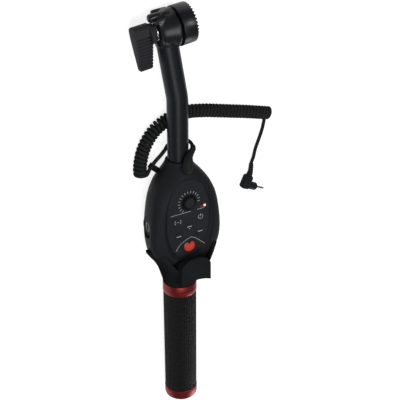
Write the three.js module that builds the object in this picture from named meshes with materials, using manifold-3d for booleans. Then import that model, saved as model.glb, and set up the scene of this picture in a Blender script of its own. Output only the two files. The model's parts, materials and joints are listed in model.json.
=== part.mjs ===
// Pan bar with a built-in wired camera remote, lying on its back on a table.
// Millimetres, +Z up, +X towards the toothed rosette, +Y from the grip to the clamp.
// Pieces are drawn round the bar: Z = 0 is the bar's axis and Y = 0 a line through the head.

import * as THREE from 'three';
import { mergeVertices } from 'three/addons/utils/BufferGeometryUtils.js';
import Module from 'manifold-3d';

const wasm = await Module();
wasm.setup();

// General
const fit = 0.3; // gap between pieces that seat on or slide in each other
const overrun = 12; // how far a cut passes the face that it starts from
const weld = 0.0005; // points nearer than this are one point
const fullTurn = Math.PI * 2;
const quarterTurn = Math.PI / 2;

// Bar tube
const tubeDiameter = 18.5;
const tubeWall = 1.8;
const bendY = 97; // corner between the long straight and the upper leg
const bendRadius = 50;
const legReach = 59; // from the corner to the clamp axis, along Y
const legShift = 8.2; // how far the clamp stands to the left of the bar
const tubeSides = 12; // sides in half a turn

// Control head
const headHalfWidth = 34.9;
const headFront = 22; // bar axis to the front of the shell
const restDepth = 21.5; // bar axis to the flat that the head lies on
const rearBulge = 1.7; // how far the rear dome would pass that flat
const crownY = 39;
const footY = -68;
const widestZ = 9.5; // plane in which the head is widest
const headWall = 2.4;
const collarWall = 2.5;
const collarTop = 41.2;
const collarDrop = 6;

// Panel and what is under it
const panelHalfWidth = 21.5;
const panelHalfHeight = 39;
const panelY = -11;
const panelZ = 18;
const panelThickness = 1.6;
const panelLedge = 2.4;
const bezelFlare = 3.2;
const boardThickness = 1.6;
const boardZ = 10.2; // underside of the circuit board
const pocketTop = 13.4;

// Dial
const dialRadius = 7.4;
const dialCapRadius = 5.5;
const dialSkirtHeight = 1.5;
const dialHeight = 3.6;
const dialNotches = 18;
const dialShaftRadius = 1.6;
const potRadius = 5.6;
const potHeight = 3;

// Keys
const keyRadius = 3.4;
const keyProud = 0.15;
const keyFlange = 0.8; // how far the hidden flange is wider than the cap
const keyFlangeThickness = 0.8;
const keyTravel = 0.6;
const recTravel = 1;
const recProud = 1.3;
const recHalfWidth = 6;
const recHeight = 10.6;
const switchSide = 5;
const switchHeight = 1.3;
const lampRadius = 1.3;

// Cradle
const cradleLipY = -36;
const cradleEndY = -83;
const cradleHalfWidth = 37.3;
const cradleFront = 24;
const neckRadius = 15.2;
const chinHalfWidth = 14.8;
const chinFront = 32;
const chinTopY = -44.5;
const chinBottomY = -69.8;
const chinArch = 8;
const chinScoop = 3; // how far its lower edge rises in the middle

// Grip
const gripDiameter = 31;
const gripLength = 111;
const gripFlutes = 36;
const gripFluteDepth = 0.4;
const gripCoreDiameter = 25.6;
const ringDiameter = 31.6;
const upperRingLength = 10.8;
const lowerRingLength = 10.3;
const ringGroove = 0.5;
const capThickness = 4;

// Clamp
const rosetteDiameter = 34;
const rosetteLength = 11.6; // to the flat land inside the teeth
const rosetteStart = 9.6; // tube axis to the rosette's inner face
const toothCount = 36;
const toothHeight = 1.5;
const toothBandWidth = 4.4;
const rosetteRecessRadius = 7;
const rosetteRecessDepth = 3;
const screwRadius = 3;
const screwProud = 5; // past the tips of the teeth
const bossFlareRadius = 15.4;
const bossNoseRadius = 6.2;
const bossNose = 5.4; // tube axis to the small end of the boss
const sleeveWall = 1;
const sleeveBottom = 12.4;
const sleeveTop = 6.6;
const hoodHeight = 16.8;
const lipReach = 13.9; // how far the lip's long finger reaches towards the knob
const lipRadius = 3.1;

// Wing knob
const hubRadius = 8.4;
const hubFace = 10.7; // tube axis to the hub's inner face
const knobReach = 28.8; // tube axis to the paddle's outer end
const paddleTop = 9.5;
const paddleBottom = 27.6;
const paddleThick = 10.8;
const paddleThin = 3.4;
const paddleInnerTop = 14.2; // tube axis to the paddle's inner edge, at the hub
const paddleInnerBottom = 17;
const ribCount = 9;
const ribDepth = 0.6;

// Cord and plug
const cordDiameter = 2.5;
const curlRadius = 4.6; // coil axis to the middle of the cord
const curlCount = 46; // whole curls, and one half to leave on the table
const curlSteps = 8;
const curlSides = 5;
const bootBaseRadius = 4.8;
const bootTipRadius = 2;
const plugWidth = 9;
const plugLength = 13.7;
const plugHeight = 8;
const plugPinDiameter = 2.5;
const plugPinLength = 10.4;
const plugBarrelPlace = 9.6; // from the body's top to the axis of its side barrel
const plugBarrelReach = 12.4; // from the body's axis to the foot of the pin
const plugBarrelRadius = 3.8;
const plugBootRadius = 2.9;
const plugBootTipRadius = 2;

// Colours
const paint = (color, roughness, metalness = 0) =>
  new THREE.MeshStandardMaterial({ color, roughness, metalness });
const blackPlastic = () => paint(0x1f2023, 0.55);
const blackPaint = () => paint(0x1d1f23, 0.42, 0.1);
const blackRubber = () => paint(0x191919, 0.85);
const redAnodised = () => paint(0x611b1c, 0.35, 0.8);
const redPlastic = () => paint(0xd94a45, 0.4);
const steel = () => paint(0x9a9a9c, 0.3, 1);
const blackSteel = () => paint(0x26262a, 0.4, 0.9);
const boardGreen = () => paint(0x1f5a34, 0.6);
const lampWhite = () => paint(0xf2c9c4, 0.25);

// Meshes and solids

function outward(geometry) {
  const index = geometry.index;
  const position = geometry.attributes.position;
  const a = new THREE.Vector3();
  const b = new THREE.Vector3();
  const c = new THREE.Vector3();
  let volume = 0;
  for (let i = 0; i < index.count; i += 3) {
    a.fromBufferAttribute(position, index.getX(i));
    b.fromBufferAttribute(position, index.getX(i + 1));
    c.fromBufferAttribute(position, index.getX(i + 2));
    volume += a.dot(b.cross(c));
  }
  if (volume < 0) {
    for (let i = 0; i < index.count; i += 3) {
      const first = index.getX(i);
      index.setX(i, index.getX(i + 1));
      index.setX(i + 1, first);
    }
  }
  return geometry;
}

function welded(geometry) {
  const bare = geometry.clone();
  bare.deleteAttribute('normal');
  bare.deleteAttribute('uv');
  const merged = mergeVertices(bare, weld);
  const kept = [];
  for (let i = 0; i < merged.index.count; i += 3) {
    const corners = [0, 1, 2].map((k) => merged.index.getX(i + k));
    if (new Set(corners).size === 3) kept.push(...corners);
  }
  merged.setIndex(kept);
  return outward(merged);
}

function solid(geometry) {
  const clean = welded(geometry);
  const mesh = new wasm.Mesh({
    numProp: 3,
    vertProperties: new Float32Array(clean.attributes.position.array),
    triVerts: new Uint32Array(clean.index.array),
  });
  return new wasm.Manifold(mesh);
}

function geometryOf(body) {
  const mesh = body.getMesh();
  const geometry = new THREE.BufferGeometry();
  geometry.setAttribute('position', new THREE.BufferAttribute(mesh.vertProperties, 3));
  geometry.setIndex(new THREE.BufferAttribute(mesh.triVerts, 1));
  return geometry;
}

const join = (...bodies) => bodies.reduce((sum, body) => sum.add(body));
const cut = (body, ...tools) => tools.reduce((rest, tool) => rest.subtract(tool), body);

// A closed skin over rings of points that follow each other, with flat ends
function skin(rings) {
  const count = rings[0].length;
  const points = rings.flat();
  const faces = [];
  for (let r = 0; r + 1 < rings.length; r += 1) {
    for (let k = 0; k < count; k += 1) {
      const a = r * count + k;
      const b = r * count + ((k + 1) % count);
      faces.push(a, b, b + count, a, b + count, a + count);
    }
  }
  for (const [ring, start] of [[rings[0], 0], [rings[rings.length - 1], points.length - count]]) {
    const middle = ring.reduce((sum, p) => sum.add(p), new THREE.Vector3()).divideScalar(count);
    const centre = points.push(middle) - 1;
    for (let k = 0; k < count; k += 1) {
      const side = [start + k, start + ((k + 1) % count)];
      faces.push(centre, ...(start === 0 ? side.reverse() : side));
    }
  }
  const geometry = new THREE.BufferGeometry().setFromPoints(points);
  geometry.setIndex(faces);
  return outward(geometry);
}

// A closed ring whose section changes with the angle round the Y axis
function ringWithSections(steps, sectionAt) {
  const points = [];
  const faces = [];
  const sections = Array.from({ length: steps }, (_, k) => sectionAt(k));
  const count = sections[0].length;
  sections.forEach((section, k) => {
    const angle = (fullTurn * k) / steps;
    section.forEach(([radius, y]) => {
      points.push(new THREE.Vector3(radius * Math.cos(angle), y, radius * Math.sin(angle)));
    });
    const next = (k + 1) % steps;
    for (let j = 0; j < count; j += 1) {
      const a = k * count + j;
      const b = k * count + ((j + 1) % count);
      const c = next * count + ((j + 1) % count);
      const d = next * count + j;
      faces.push(a, b, c, a, c, d);
    }
  });
  const geometry = new THREE.BufferGeometry().setFromPoints(points);
  geometry.setIndex(faces);
  return outward(geometry);
}

// Turned about the Y axis from [radius, y] pairs that start and end on the axis or close
const turned = (pairs, sides) =>
  new THREE.LatheGeometry(pairs.map(([radius, y]) => new THREE.Vector2(radius, y)), sides);

// A round bar along Y between two heights
const rod = (radius, from, to, sides = 24) =>
  new THREE.CylinderGeometry(radius, radius, to - from, sides).translate(0, (from + to) / 2, 0);

// A hollow round bar along Y
const pipe = (outer, inner, from, to, sides) =>
  turned([[inner, from], [outer, from], [outer, to], [inner, to], [inner, from]], sides);

// A block given by its low and high corners
function block(low, high) {
  const size = low.map((value, k) => high[k] - value);
  const middle = low.map((value, k) => (high[k] + value) / 2);
  return new THREE.BoxGeometry(...size).translate(...middle);
}

// The same shape stood along Z, or along X, in place of Y
const alongZ = (geometry) => geometry.rotateX(quarterTurn);
const alongX = (geometry) => geometry.rotateZ(-quarterTurn);

// A flat outline made solid from one height to another
const plate = (shape, from, to, curveSegments = 12) =>
  new THREE.ExtrudeGeometry(shape, { depth: to - from, bevelEnabled: false, curveSegments })
    .translate(0, 0, from);

function outline(pairs) {
  return new THREE.Shape(pairs.map(([x, y]) => new THREE.Vector2(x, y)));
}

// A superellipse as [x, y] pairs, rounder or boxier by its power
function ovalPairs(halfX, halfY, power, count, centreY = 0) {
  return Array.from({ length: count }, (_, k) => {
    const angle = (fullTurn * k) / count;
    const c = Math.cos(angle);
    const s = Math.sin(angle);
    const x = halfX * Math.sign(c) * Math.abs(c) ** (2 / power);
    const y = halfY * Math.sign(s) * Math.abs(s) ** (2 / power);
    return [x, centreY + y];
  });
}

// A smooth curve through a table of stations and values
function through(stations, values) {
  const curve = new THREE.CubicInterpolant(
    new Float32Array(stations),
    new Float32Array(values),
    1,
  );
  return (at) => curve.evaluate(THREE.MathUtils.clamp(at, stations[0], stations.at(-1)))[0];
}

const remote = new THREE.Group();
const clamp = new THREE.Group();
remote.add(clamp);
const cordNodes = new Set();

function add(name, shape, material, parent = remote) {
  const geometry = shape.isBufferGeometry ? welded(shape) : geometryOf(shape);
  geometry.computeVertexNormals();
  const mesh = new THREE.Mesh(geometry, material);
  mesh.name = name;
  parent.add(mesh);
  return mesh;
}

// Bar tube: one straight, one bend and an upper leg that leans to the left and to the rear

const tubeRadius = tubeDiameter / 2;
const legDrop = restDepth - rosetteDiameter / 2;
const legDirection = new THREE.Vector3(-legShift, legReach, -legDrop).normalize();
const upBar = new THREE.Vector3(0, 1, 0);
const clampCentre = new THREE.Vector3(-legShift, bendY + legReach, -legDrop);
const bendAngle = upBar.angleTo(legDirection);
const bendTangent = bendRadius * Math.tan(bendAngle / 2);
const upperRingTop = cradleEndY - fit;
const gripTop = upperRingTop - upperRingLength - fit;
const gripBottom = gripTop - gripLength;
const lowerRingTop = gripBottom - fit;
const barEndY = lowerRingTop - lowerRingLength;
const tubeBottom = barEndY + capThickness + fit;
const tubeTopGap = sleeveTop + sleeveWall;

class BarAxis extends THREE.Curve {
  constructor(extraBottom = 0, extraTop = 0) {
    super();
    const corner = new THREE.Vector3(0, bendY, 0);
    const centre = corner.clone().addScaledVector(upBar, -bendTangent);
    const inward = legDirection.clone().addScaledVector(upBar, -Math.cos(bendAngle)).normalize();
    centre.addScaledVector(inward, bendRadius);
    this.stations = [{ at: new THREE.Vector3(0, tubeBottom - extraBottom, 0), along: upBar }];
    const bendSteps = 4;
    for (let k = 0; k <= bendSteps; k += 1) {
      const angle = (bendAngle * k) / bendSteps;
      const at = centre.clone();
      at.addScaledVector(inward, -bendRadius * Math.cos(angle));
      at.addScaledVector(upBar, bendRadius * Math.sin(angle));
      const along = upBar.clone().multiplyScalar(Math.cos(angle));
      along.addScaledVector(inward, Math.sin(angle));
      this.stations.push({ at, along });
    }
    const top = clampCentre.clone().addScaledVector(legDirection, extraTop - tubeTopGap);
    this.stations.push({ at: top, along: legDirection });
    this.steps = this.stations.length - 1;
  }

  station(u) {
    return this.stations[Math.round(u * this.steps)];
  }

  getPointAt(u) {
    return this.station(u).at.clone();
  }

  getTangentAt(u) {
    return this.station(u).along.clone();
  }
}

const barAxis = new BarAxis();
const tubeSection = new THREE.Shape().absarc(0, 0, tubeRadius, 0, fullTurn);
tubeSection.holes.push(new THREE.Path().absarc(0, 0, tubeRadius - tubeWall, 0, fullTurn, true));
const tubeGeometry = new THREE.ExtrudeGeometry(tubeSection, {
  extrudePath: barAxis,
  steps: barAxis.steps,
  curveSegments: tubeSides,
});
add('bar_tube', tubeGeometry, blackPaint());
const tubeBore = solid(rod(tubeRadius + fit, barEndY - overrun, collarTop + overrun));

// Control head: an egg lofted from the foot in the cradle to the collar on the tube

const headLength = crownY - footY;
const headStationShares = [0, 0.05, 0.13, 0.21, 0.3, 0.42, 0.58, 0.72, 0.83, 0.91, 0.96, 1];
const headWidthShares = [0.4, 0.54, 0.73, 0.91, 0.985, 1, 0.955, 0.87, 0.725, 0.555, 0.42, 0.34];
const headFrontShares = [0.64, 0.8, 0.9, 0.945, 0.98, 1, 1, 0.975, 0.895, 0.76, 0.64, 0.536];
const headRearShares = [0.58, 0.63, 0.7, 0.77, 0.88, 0.98, 1, 0.97, 0.88, 0.72, 0.6, 0.509];
const headWidthAt = through(headStationShares, headWidthShares);
const headFrontAt = through(headStationShares, headFrontShares);
const headRearAt = through(headStationShares, headRearShares);
const headRings = 16;
const headPoints = 28;
const roomRings = 10;
const roomPoints = 20;

function headRing(share, grow, count) {
  const halfWidth = headHalfWidth * headWidthAt(share);
  const front = headFront * headFrontAt(share);
  const rear = (restDepth + rearBulge) * headRearAt(share);
  const fullness = (headWidthAt(share) - headWidthShares.at(-1)) / (1 - headWidthShares.at(-1));
  const middle = widestZ * THREE.MathUtils.clamp(fullness, 0, 1);
  const y = footY + headLength * share + grow * (2 * share - 1);
  const ring = [];
  for (let k = 0; k < count; k += 1) {
    const angle = (fullTurn * k) / count;
    const c = Math.cos(angle);
    const s = Math.sin(angle);
    const power = 2 + THREE.MathUtils.clamp(fullness, 0, 1) * (s > 0 ? 1 : 0.35);
    const depth = s > 0 ? front - middle + grow : rear + middle + grow;
    const x = (halfWidth + grow) * Math.sign(c) * Math.abs(c) ** (2 / power);
    const z = middle + depth * Math.sign(s) * Math.abs(s) ** (2 / power);
    ring.push(new THREE.Vector3(x, y, z));
  }
  return ring;
}

function egg(grow, steps = headRings, count = headPoints) {
  const rings = [];
  for (let k = 0; k <= steps; k += 1) {
    const even = k / steps;
    const share = even - Math.sin(fullTurn * even) / fullTurn / 3;
    rings.push(headRing(share, grow, count));
  }
  return solid(skin(rings));
}

const collarRadius = tubeRadius + collarWall;
const collar = (grow) => {
  const radius = collarRadius + grow;
  const top = collarTop + grow;
  const lip = collarWall / 3;
  const pairs = [
    [0, collarTop - collarDrop],
    [radius, collarTop - collarDrop],
    [radius, top - lip],
    [radius - lip, top],
    [0, top],
  ];
  return solid(turned(pairs, 24));
};
const below = (z) => {
  const side = headHalfWidth + overrun;
  return solid(block([-side, cradleEndY - overrun, -restDepth - rearBulge - overrun],
    [side, collarTop + overrun, z]));
};
const above = (z) => {
  const side = headHalfWidth + overrun;
  return solid(block([-side, cradleEndY - overrun, z],
    [side, collarTop + overrun, chinFront + overrun]));
};
const headBody = cut(join(egg(0), collar(0)), below(-restDepth), tubeBore);
const headRoom = join(egg(fit), collar(fit));

// Front shell: pocket from behind, stepped seat for the panel, flared bezel round it

const panelPower = 2.2;
const panelPoints = 28;
const ovalRing = (grow, z) =>
  ovalPairs(panelHalfWidth + grow, panelHalfHeight + grow, panelPower, panelPoints, panelY)
    .map(([x, y]) => new THREE.Vector3(x, y, z));
const ovalTool = (...levels) => solid(skin(levels.map(([grow, z]) => ovalRing(grow, z))));
const ledgeZ = panelZ - panelThickness - fit;
const panelSeat = ovalTool([-panelLedge, boardZ], [-panelLedge, ledgeZ + fit]);
const panelRecess = ovalTool([fit, ledgeZ], [fit, panelZ]);
const bezelCut = ovalTool(
  [fit, panelZ - fit],
  [fit + bezelFlare / 4, panelZ + fit],
  [fit + bezelFlare, headFront + fit],
  [fit + bezelFlare, headFront + overrun],
);

const partingZ = -(tubeRadius + collarWall + fit); // plane between front and rear shell
const postX = 15;
const postRadius = 3.1;
const postYs = [8, -34];
const posts = postYs.flatMap((y) => [-postX, postX].map((x) => [x, y]));
const postAt = ([x, y], radius, from, to) =>
  solid(alongZ(rod(radius, from, to, 12)).translate(x, y, 0));
const pocketShape = egg(-headWall, roomRings, roomPoints);
const saddleYs = [22, -54];
const saddleWidth = 3;
const saddles = saddleYs.map((y) => {
  const side = headHalfWidth + overrun;
  return solid(block([-side, y - saddleWidth / 2, partingZ - overrun],
    [side, y + saddleWidth / 2, boardZ - fit]));
});
const frontPocket = cut(
  pocketShape,
  above(pocketTop),
  ...posts.map((place) => postAt(place, postRadius, partingZ - overrun, pocketTop + overrun)),
  ...saddles,
);

const discRadius = 10.5;
const discPlaceY = -20;
const discPlaceZ = 3.5;
const discThickness = 2;
const discInset = 0.5;
const discX = -headHalfWidth + discInset + discThickness;
const discTool = (radius, x) =>
  solid(alongX(rod(radius, -headHalfWidth - overrun, x, 32)).translate(0, discPlaceY, discPlaceZ));
const screwShank = 1.4;
const screwHeadRadius = 2.6;
const screwHeadThickness = 1.5;
const screwSink = 0.4;
const screwBite = 7;

const frontShell = cut(
  headBody,
  below(partingZ + fit / 2),
  frontPocket,
  panelSeat,
  panelRecess,
  bezelCut,
  discTool(discRadius + fit, discX + fit),
  ...posts.map((place) => postAt(place, screwShank + fit, partingZ - overrun, partingZ + screwBite + fit)),
);
add('front_shell', frontShell, blackPlastic());

add('flank_disc', discTool(discRadius, discX).intersect(egg(-discInset)), blackPlastic());

// Rear shell: the back cover with four counterbored screw posts

const rearPocket = cut(
  pocketShape.intersect(below(partingZ + fit)),
  below(-restDepth + headWall),
  ...posts.map((place) => postAt(place, postRadius + fit, -restDepth - overrun, partingZ + overrun)),
);
const screwHeadZ = -restDepth + screwSink;
const rearShell = cut(
  headBody,
  above(partingZ - fit / 2),
  rearPocket,
  ...posts.map((place) => postAt(place, screwShank + fit, -restDepth - overrun, partingZ + overrun)),
  ...posts.map((place) =>
    postAt(place, screwHeadRadius + fit, -restDepth - overrun, screwHeadZ + screwHeadThickness + fit)),
);
add('rear_shell', rearShell, blackPlastic());

posts.forEach(([x, y], k) => {
  const top = partingZ + screwBite;
  const neckZ = screwHeadZ + screwHeadThickness;
  const pairs = [
    [0, screwHeadZ],
    [screwHeadRadius, screwHeadZ],
    [screwHeadRadius, neckZ],
    [screwShank, neckZ],
    [screwShank, top],
    [0, top + fit / 2],
  ];
  const shape = turned(pairs, 10).rotateX(quarterTurn).translate(x, y, 0);
  add(`housing_screw_${k + 1}`, shape, steel());
});

// Control panel and the parts that pass through it

const placeOn = ([shareX, shareY]) => [
  panelHalfWidth * shareX,
  panelY + panelHalfHeight * shareY,
];
const keyPlaceShares = {
  power: [0.56, 0],
  focus: [-0.5, 0],
  mode: [0.04, -0.19],
  auto: [0.54, -0.38],
  photo: [-0.46, -0.38],
};
const dialPlace = placeOn([0.015, 0.44]);
const recPlace = placeOn([0.03, -0.71]);
const lampPlace = placeOn([0.755, 0.26]);
const upright = (radius, [x, y], from, to, sides = 24) =>
  solid(alongZ(rod(radius, from, to, sides)).translate(x, y, 0));

function beanShape(grow) {
  const half = recHalfWidth + grow;
  const top = recHeight / 2 + grow;
  const notch = recHeight * 0.27 + grow;
  const shape = new THREE.Shape();
  shape.moveTo(0, notch);
  shape.bezierCurveTo(half * 0.1, top * 0.9, half * 0.35, top * 1.05, half * 0.55, top);
  shape.bezierCurveTo(half * 0.9, top * 0.9, half * 1.02, top * 0.4, half, 0);
  shape.bezierCurveTo(half * 0.95, -top * 0.7, half * 0.55, -top, 0, -top);
  shape.bezierCurveTo(-half * 0.55, -top, -half * 0.95, -top * 0.7, -half, 0);
  shape.bezierCurveTo(-half * 1.02, top * 0.4, -half * 0.9, top * 0.9, -half * 0.55, top);
  shape.bezierCurveTo(-half * 0.35, top * 1.05, -half * 0.1, top * 0.9, 0, notch);
  return shape;
}
const bean = (grow, from, to) =>
  solid(plate(beanShape(grow), from, to, 5).translate(recPlace[0], recPlace[1], 0));

const panelBottom = panelZ - panelThickness;
const panelTools = Object.values(keyPlaceShares)
  .map((share) => upright(keyRadius + fit, placeOn(share), panelBottom - overrun, panelZ + overrun, 14));
panelTools.push(upright(dialShaftRadius + fit, dialPlace, panelBottom - overrun, panelZ + overrun));
panelTools.push(upright(lampRadius + fit, lampPlace, panelBottom - overrun, panelZ + overrun, 12));
panelTools.push(bean(fit, panelBottom - overrun, panelZ + overrun));
add('control_panel', cut(ovalTool([0, panelBottom], [0, panelZ]), ...panelTools), blackPlastic());

// Circuit board under the panel, notched round the screw posts

const boardTop = boardZ + boardThickness;
const boardInset = 3.5;
const boardPlate = ovalTool([-boardInset, boardZ], [-boardInset, boardTop]);
const boardTools = posts.map((place) =>
  postAt(place, postRadius + fit, boardZ - overrun, boardTop + overrun));
add('circuit_board', cut(boardPlate, ...boardTools), boardGreen());

const switchBottom = boardTop + fit;
const switchTop = switchBottom + switchHeight;
const flangeTop = panelBottom - fit;
for (const [name, share] of Object.entries(keyPlaceShares)) {
  const [x, y] = placeOn(share);
  const low = flangeTop - keyFlangeThickness;
  const stemBottom = switchTop + keyTravel + fit / 3;
  const stemRadius = keyRadius / 2;
  const pairs = [
    [0, stemBottom],
    [stemRadius, stemBottom],
    [stemRadius, low],
    [keyRadius + keyFlange, low],
    [keyRadius + keyFlange, flangeTop],
    [keyRadius, flangeTop],
    [keyRadius, panelZ],
    [keyRadius - keyProud, panelZ + keyProud],
    [0, panelZ + keyProud],
  ];
  const cap = turned(pairs, 14).rotateX(quarterTurn).translate(x, y, 0);
  add(`${name}_key`, cap, blackPlastic());
  const half = switchSide / 2;
  const body = block([x - half, y - half, switchBottom], [x + half, y + half, switchTop]);
  add(`${name}_switch`, body, blackSteel());
}

// Record button: a bean-shaped cap with a crowned top, a flange and a stem

const recFlangeLow = flangeTop - keyFlangeThickness;
const recStemLow = switchTop + recTravel + fit / 3;
const recShoulder = panelZ + recProud / 2;
const recButton = join(
  bean(0, recFlangeLow, recShoulder),
  bean(-recProud / 3, recShoulder - fit, panelZ + recProud * 0.85),
  bean(-recProud, recShoulder - fit, panelZ + recProud),
  bean(keyFlange, recFlangeLow, flangeTop),
  upright(keyRadius / 2, recPlace, recStemLow, recFlangeLow + fit, 12),
);
add('rec_button', recButton, redPlastic());
const recHalf = switchSide / 2;
add('rec_switch', block(
  [recPlace[0] - recHalf, recPlace[1] - recHalf, switchBottom],
  [recPlace[0] + recHalf, recPlace[1] + recHalf, switchTop],
), blackSteel());

// Indicator lamp: a small domed light guide on the board

const lampTop = panelZ + lampRadius / 2;
const lampPairs = [
  [0, switchBottom],
  [lampRadius + keyFlange, switchBottom],
  [lampRadius + keyFlange, switchTop],
  [lampRadius, switchTop],
  [lampRadius, panelZ],
  [lampRadius * 0.7, panelZ + lampRadius * 0.35],
  [0, lampTop],
];
const lampGeometry = turned(lampPairs, 12).rotateX(quarterTurn).translate(lampPlace[0], lampPlace[1], 0);
add('indicator_lamp', lampGeometry, lampWhite());

// Zoom dial: potentiometer on the board, shaft, and a notched knob on the panel

const potTop = boardTop + fit + potHeight;
const dialBottom = panelZ + fit;
const shaftLow = potTop - potHeight / 2;
const shaftTop = dialBottom + dialHeight / 2;
const pot = cut(
  upright(potRadius, dialPlace, boardTop + fit, potTop),
  upright(dialShaftRadius + fit, dialPlace, shaftLow - fit, potTop + overrun, 16),
);
add('dial_pot', pot, blackSteel());
add('dial_shaft', upright(dialShaftRadius, dialPlace, shaftLow, shaftTop, 16), steel());

const notchDepth = dialRadius * 0.12;
const dialSteps = dialNotches * 4;
const skirtRing = (z, inset) => Array.from({ length: dialSteps }, (_, k) => {
  const inNotch = k % 4 < 2;
  const radius = dialRadius - inset - (inNotch ? notchDepth : 0);
  const angle = (fullTurn * k) / dialSteps;
  return new THREE.Vector3(radius * Math.cos(angle), radius * Math.sin(angle), z);
});
const skirt = solid(skin([
  skirtRing(dialBottom, 0),
  skirtRing(dialBottom + dialSkirtHeight * 0.6, 0),
  skirtRing(dialBottom + dialSkirtHeight, dialRadius * 0.06),
])).translate([dialPlace[0], dialPlace[1], 0]);
const capEdge = dialCapRadius * 0.12;
const capTop = dialBottom + dialHeight;
const capPairs = [
  [0, dialBottom + dialSkirtHeight / 2],
  [dialCapRadius, dialBottom + dialSkirtHeight / 2],
  [dialCapRadius, capTop - capEdge],
  [dialCapRadius - capEdge, capTop],
  [0, capTop],
];
const dialCap = solid(turned(capPairs, 28).rotateX(quarterTurn).translate(dialPlace[0], dialPlace[1], 0));
const dialKnob = cut(
  join(skirt, dialCap),
  upright(dialShaftRadius + fit / 3, dialPlace, dialBottom - overrun, shaftTop + fit, 16),
);
add('dial_knob', dialKnob, blackPlastic());

// Cradle: a flared shell round the head's foot, with two wings and a square chin

const cradleStationShares = [0, 0.13, 0.3, 0.44, 0.62, 0.82, 1];
const cradleWidthShares = [0.408, 0.46, 0.525, 0.595, 0.73, 0.905, 0.99];
const cradleFrontShares = [0.633, 0.78, 1, 1.15, 1.22, 1.1, 0.96];
const cradleRearShares = [0.707, 0.745, 0.8, 0.85, 0.92, 0.985, 1.01];
const cradleBoxShares = [0, 0.15, 0.25, 0.27, 0.22, 0.1, 0];
const cradleWidthAt = through(cradleStationShares, cradleWidthShares);
const cradleBoxAt = through(cradleStationShares, cradleBoxShares);
const cradleFrontAt = through(cradleStationShares, cradleFrontShares);
const cradleRearAt = through(cradleStationShares, cradleRearShares);
const cradleLength = cradleLipY - cradleEndY;
const cradleRingCount = 10;
const cradlePoints = 28;

function cradleRing(share) {
  const halfWidth = cradleHalfWidth * cradleWidthAt(share);
  const front = cradleFront * cradleFrontAt(share);
  const rear = restDepth * cradleRearAt(share);
  const middle = widestZ * share * 0.7;
  const y = cradleEndY + cradleLength * share;
  const ring = [];
  for (let k = 0; k < cradlePoints; k += 1) {
    const angle = (fullTurn * k) / cradlePoints;
    const c = Math.cos(angle);
    const s = Math.sin(angle);
    const power = 2 + (s > 0 ? 2 * cradleBoxAt(share) : share);
    const depth = s > 0 ? front - middle : rear + middle;
    const x = halfWidth * Math.sign(c) * Math.abs(c) ** (2 / power);
    const z = middle + depth * Math.sign(s) * Math.abs(s) ** (2 / power);
    ring.push(new THREE.Vector3(x, y, z));
  }
  return ring;
}

const cradleOuter = solid(skin(
  Array.from({ length: cradleRingCount + 1 }, (_, k) => cradleRing(k / cradleRingCount)),
));
const farX = cradleHalfWidth + overrun;
const farY = cradleLipY + overrun;
const lapelXShares = [0.775, 0.627, 0.534];
const lapelDropShares = [0.06, 0.125, 0.28];
const notchX = chinHalfWidth * 0.94;
const notchY = chinTopY - chinHalfWidth * 0.86;
const leftLapel = lapelXShares.map((share, k) => [
  -cradleHalfWidth * share,
  cradleLipY - cradleLength * lapelDropShares[k],
]);
leftLapel.push([-notchX, notchY]);
const lapel = outline([
  [-farX, cradleLipY],
  ...leftLapel,
  ...leftLapel.map(([x, y]) => [-x, y]).reverse(),
  [farX, cradleLipY],
  [farX, farY],
  [-farX, farY],
]);
const wingTipZ = widestZ * 0.7;
const rearRimDrop = cradleLength * 0.48;
const rearRim = outline([
  [wingTipZ, cradleLipY],
  [wingTipZ, farY],
  [-restDepth - overrun, farY],
  [-restDepth - overrun, cradleLipY - rearRimDrop * 1.1],
  [-restDepth, cradleLipY - rearRimDrop],
  [-restDepth * 0.4, cradleLipY - rearRimDrop * 0.8],
]);

const chinFace = new THREE.Shape();
const chinFootX = neckRadius / 2;
chinFace.moveTo(-chinFootX, cradleEndY);
chinFace.lineTo(chinFootX, cradleEndY);
chinFace.lineTo(chinHalfWidth, chinBottomY);
chinFace.lineTo(chinHalfWidth, chinTopY - chinArch);
const shoulderX = chinHalfWidth * 0.9;
const shoulderY = chinTopY - chinArch * 0.35;
chinFace.bezierCurveTo(shoulderX, shoulderY, chinHalfWidth * 0.5, chinTopY, 0, chinTopY);
chinFace.bezierCurveTo(
  -chinHalfWidth * 0.5, chinTopY, -shoulderX, shoulderY, -chinHalfWidth, chinTopY - chinArch,
);
chinFace.lineTo(-chinHalfWidth, chinBottomY);
const chinRound = 3;
const chinLowY = cradleEndY + chinRound;
const chinSide = new THREE.Shape();
chinSide.moveTo(0, cradleEndY);
chinSide.lineTo(neckRadius - fit, cradleEndY + fit);
chinSide.quadraticCurveTo(neckRadius, chinLowY, neckRadius + chinRound, chinLowY + chinRound);
chinSide.lineTo(chinFront - fit, chinBottomY - fit);
chinSide.lineTo(chinFront, chinBottomY + fit);
chinSide.lineTo(chinFront - fit, chinTopY - chinRound);
chinSide.quadraticCurveTo(chinFront - fit, chinTopY, chinFront - chinRound, chinTopY + fit);
const chinDip = 2 * chinRound; // how far its top falls away behind the front edge
chinSide.lineTo(headFront - headWall, chinTopY - chinDip);
chinSide.lineTo(0, chinTopY - chinDip);
const chinDepth = solid(plate(chinSide, -chinHalfWidth - overrun, chinHalfWidth + overrun, 6)
  .rotateY(-quarterTurn));
const undersideLean = Math.atan2(
  chinBottomY - chinLowY - chinRound,
  chinFront - neckRadius - chinRound,
);
const scoopRadius = (chinHalfWidth ** 2 + chinScoop ** 2) / (2 * chinScoop);
const scoopDrop = scoopRadius - chinScoop;
const scoop = solid(
  new THREE.CylinderGeometry(scoopRadius, scoopRadius, 2 * chinFront, 96)
    .rotateX(quarterTurn - undersideLean)
    .translate(
      0,
      chinBottomY - scoopDrop * Math.cos(undersideLean),
      chinFront + scoopDrop * Math.sin(undersideLean),
    ),
);
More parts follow.
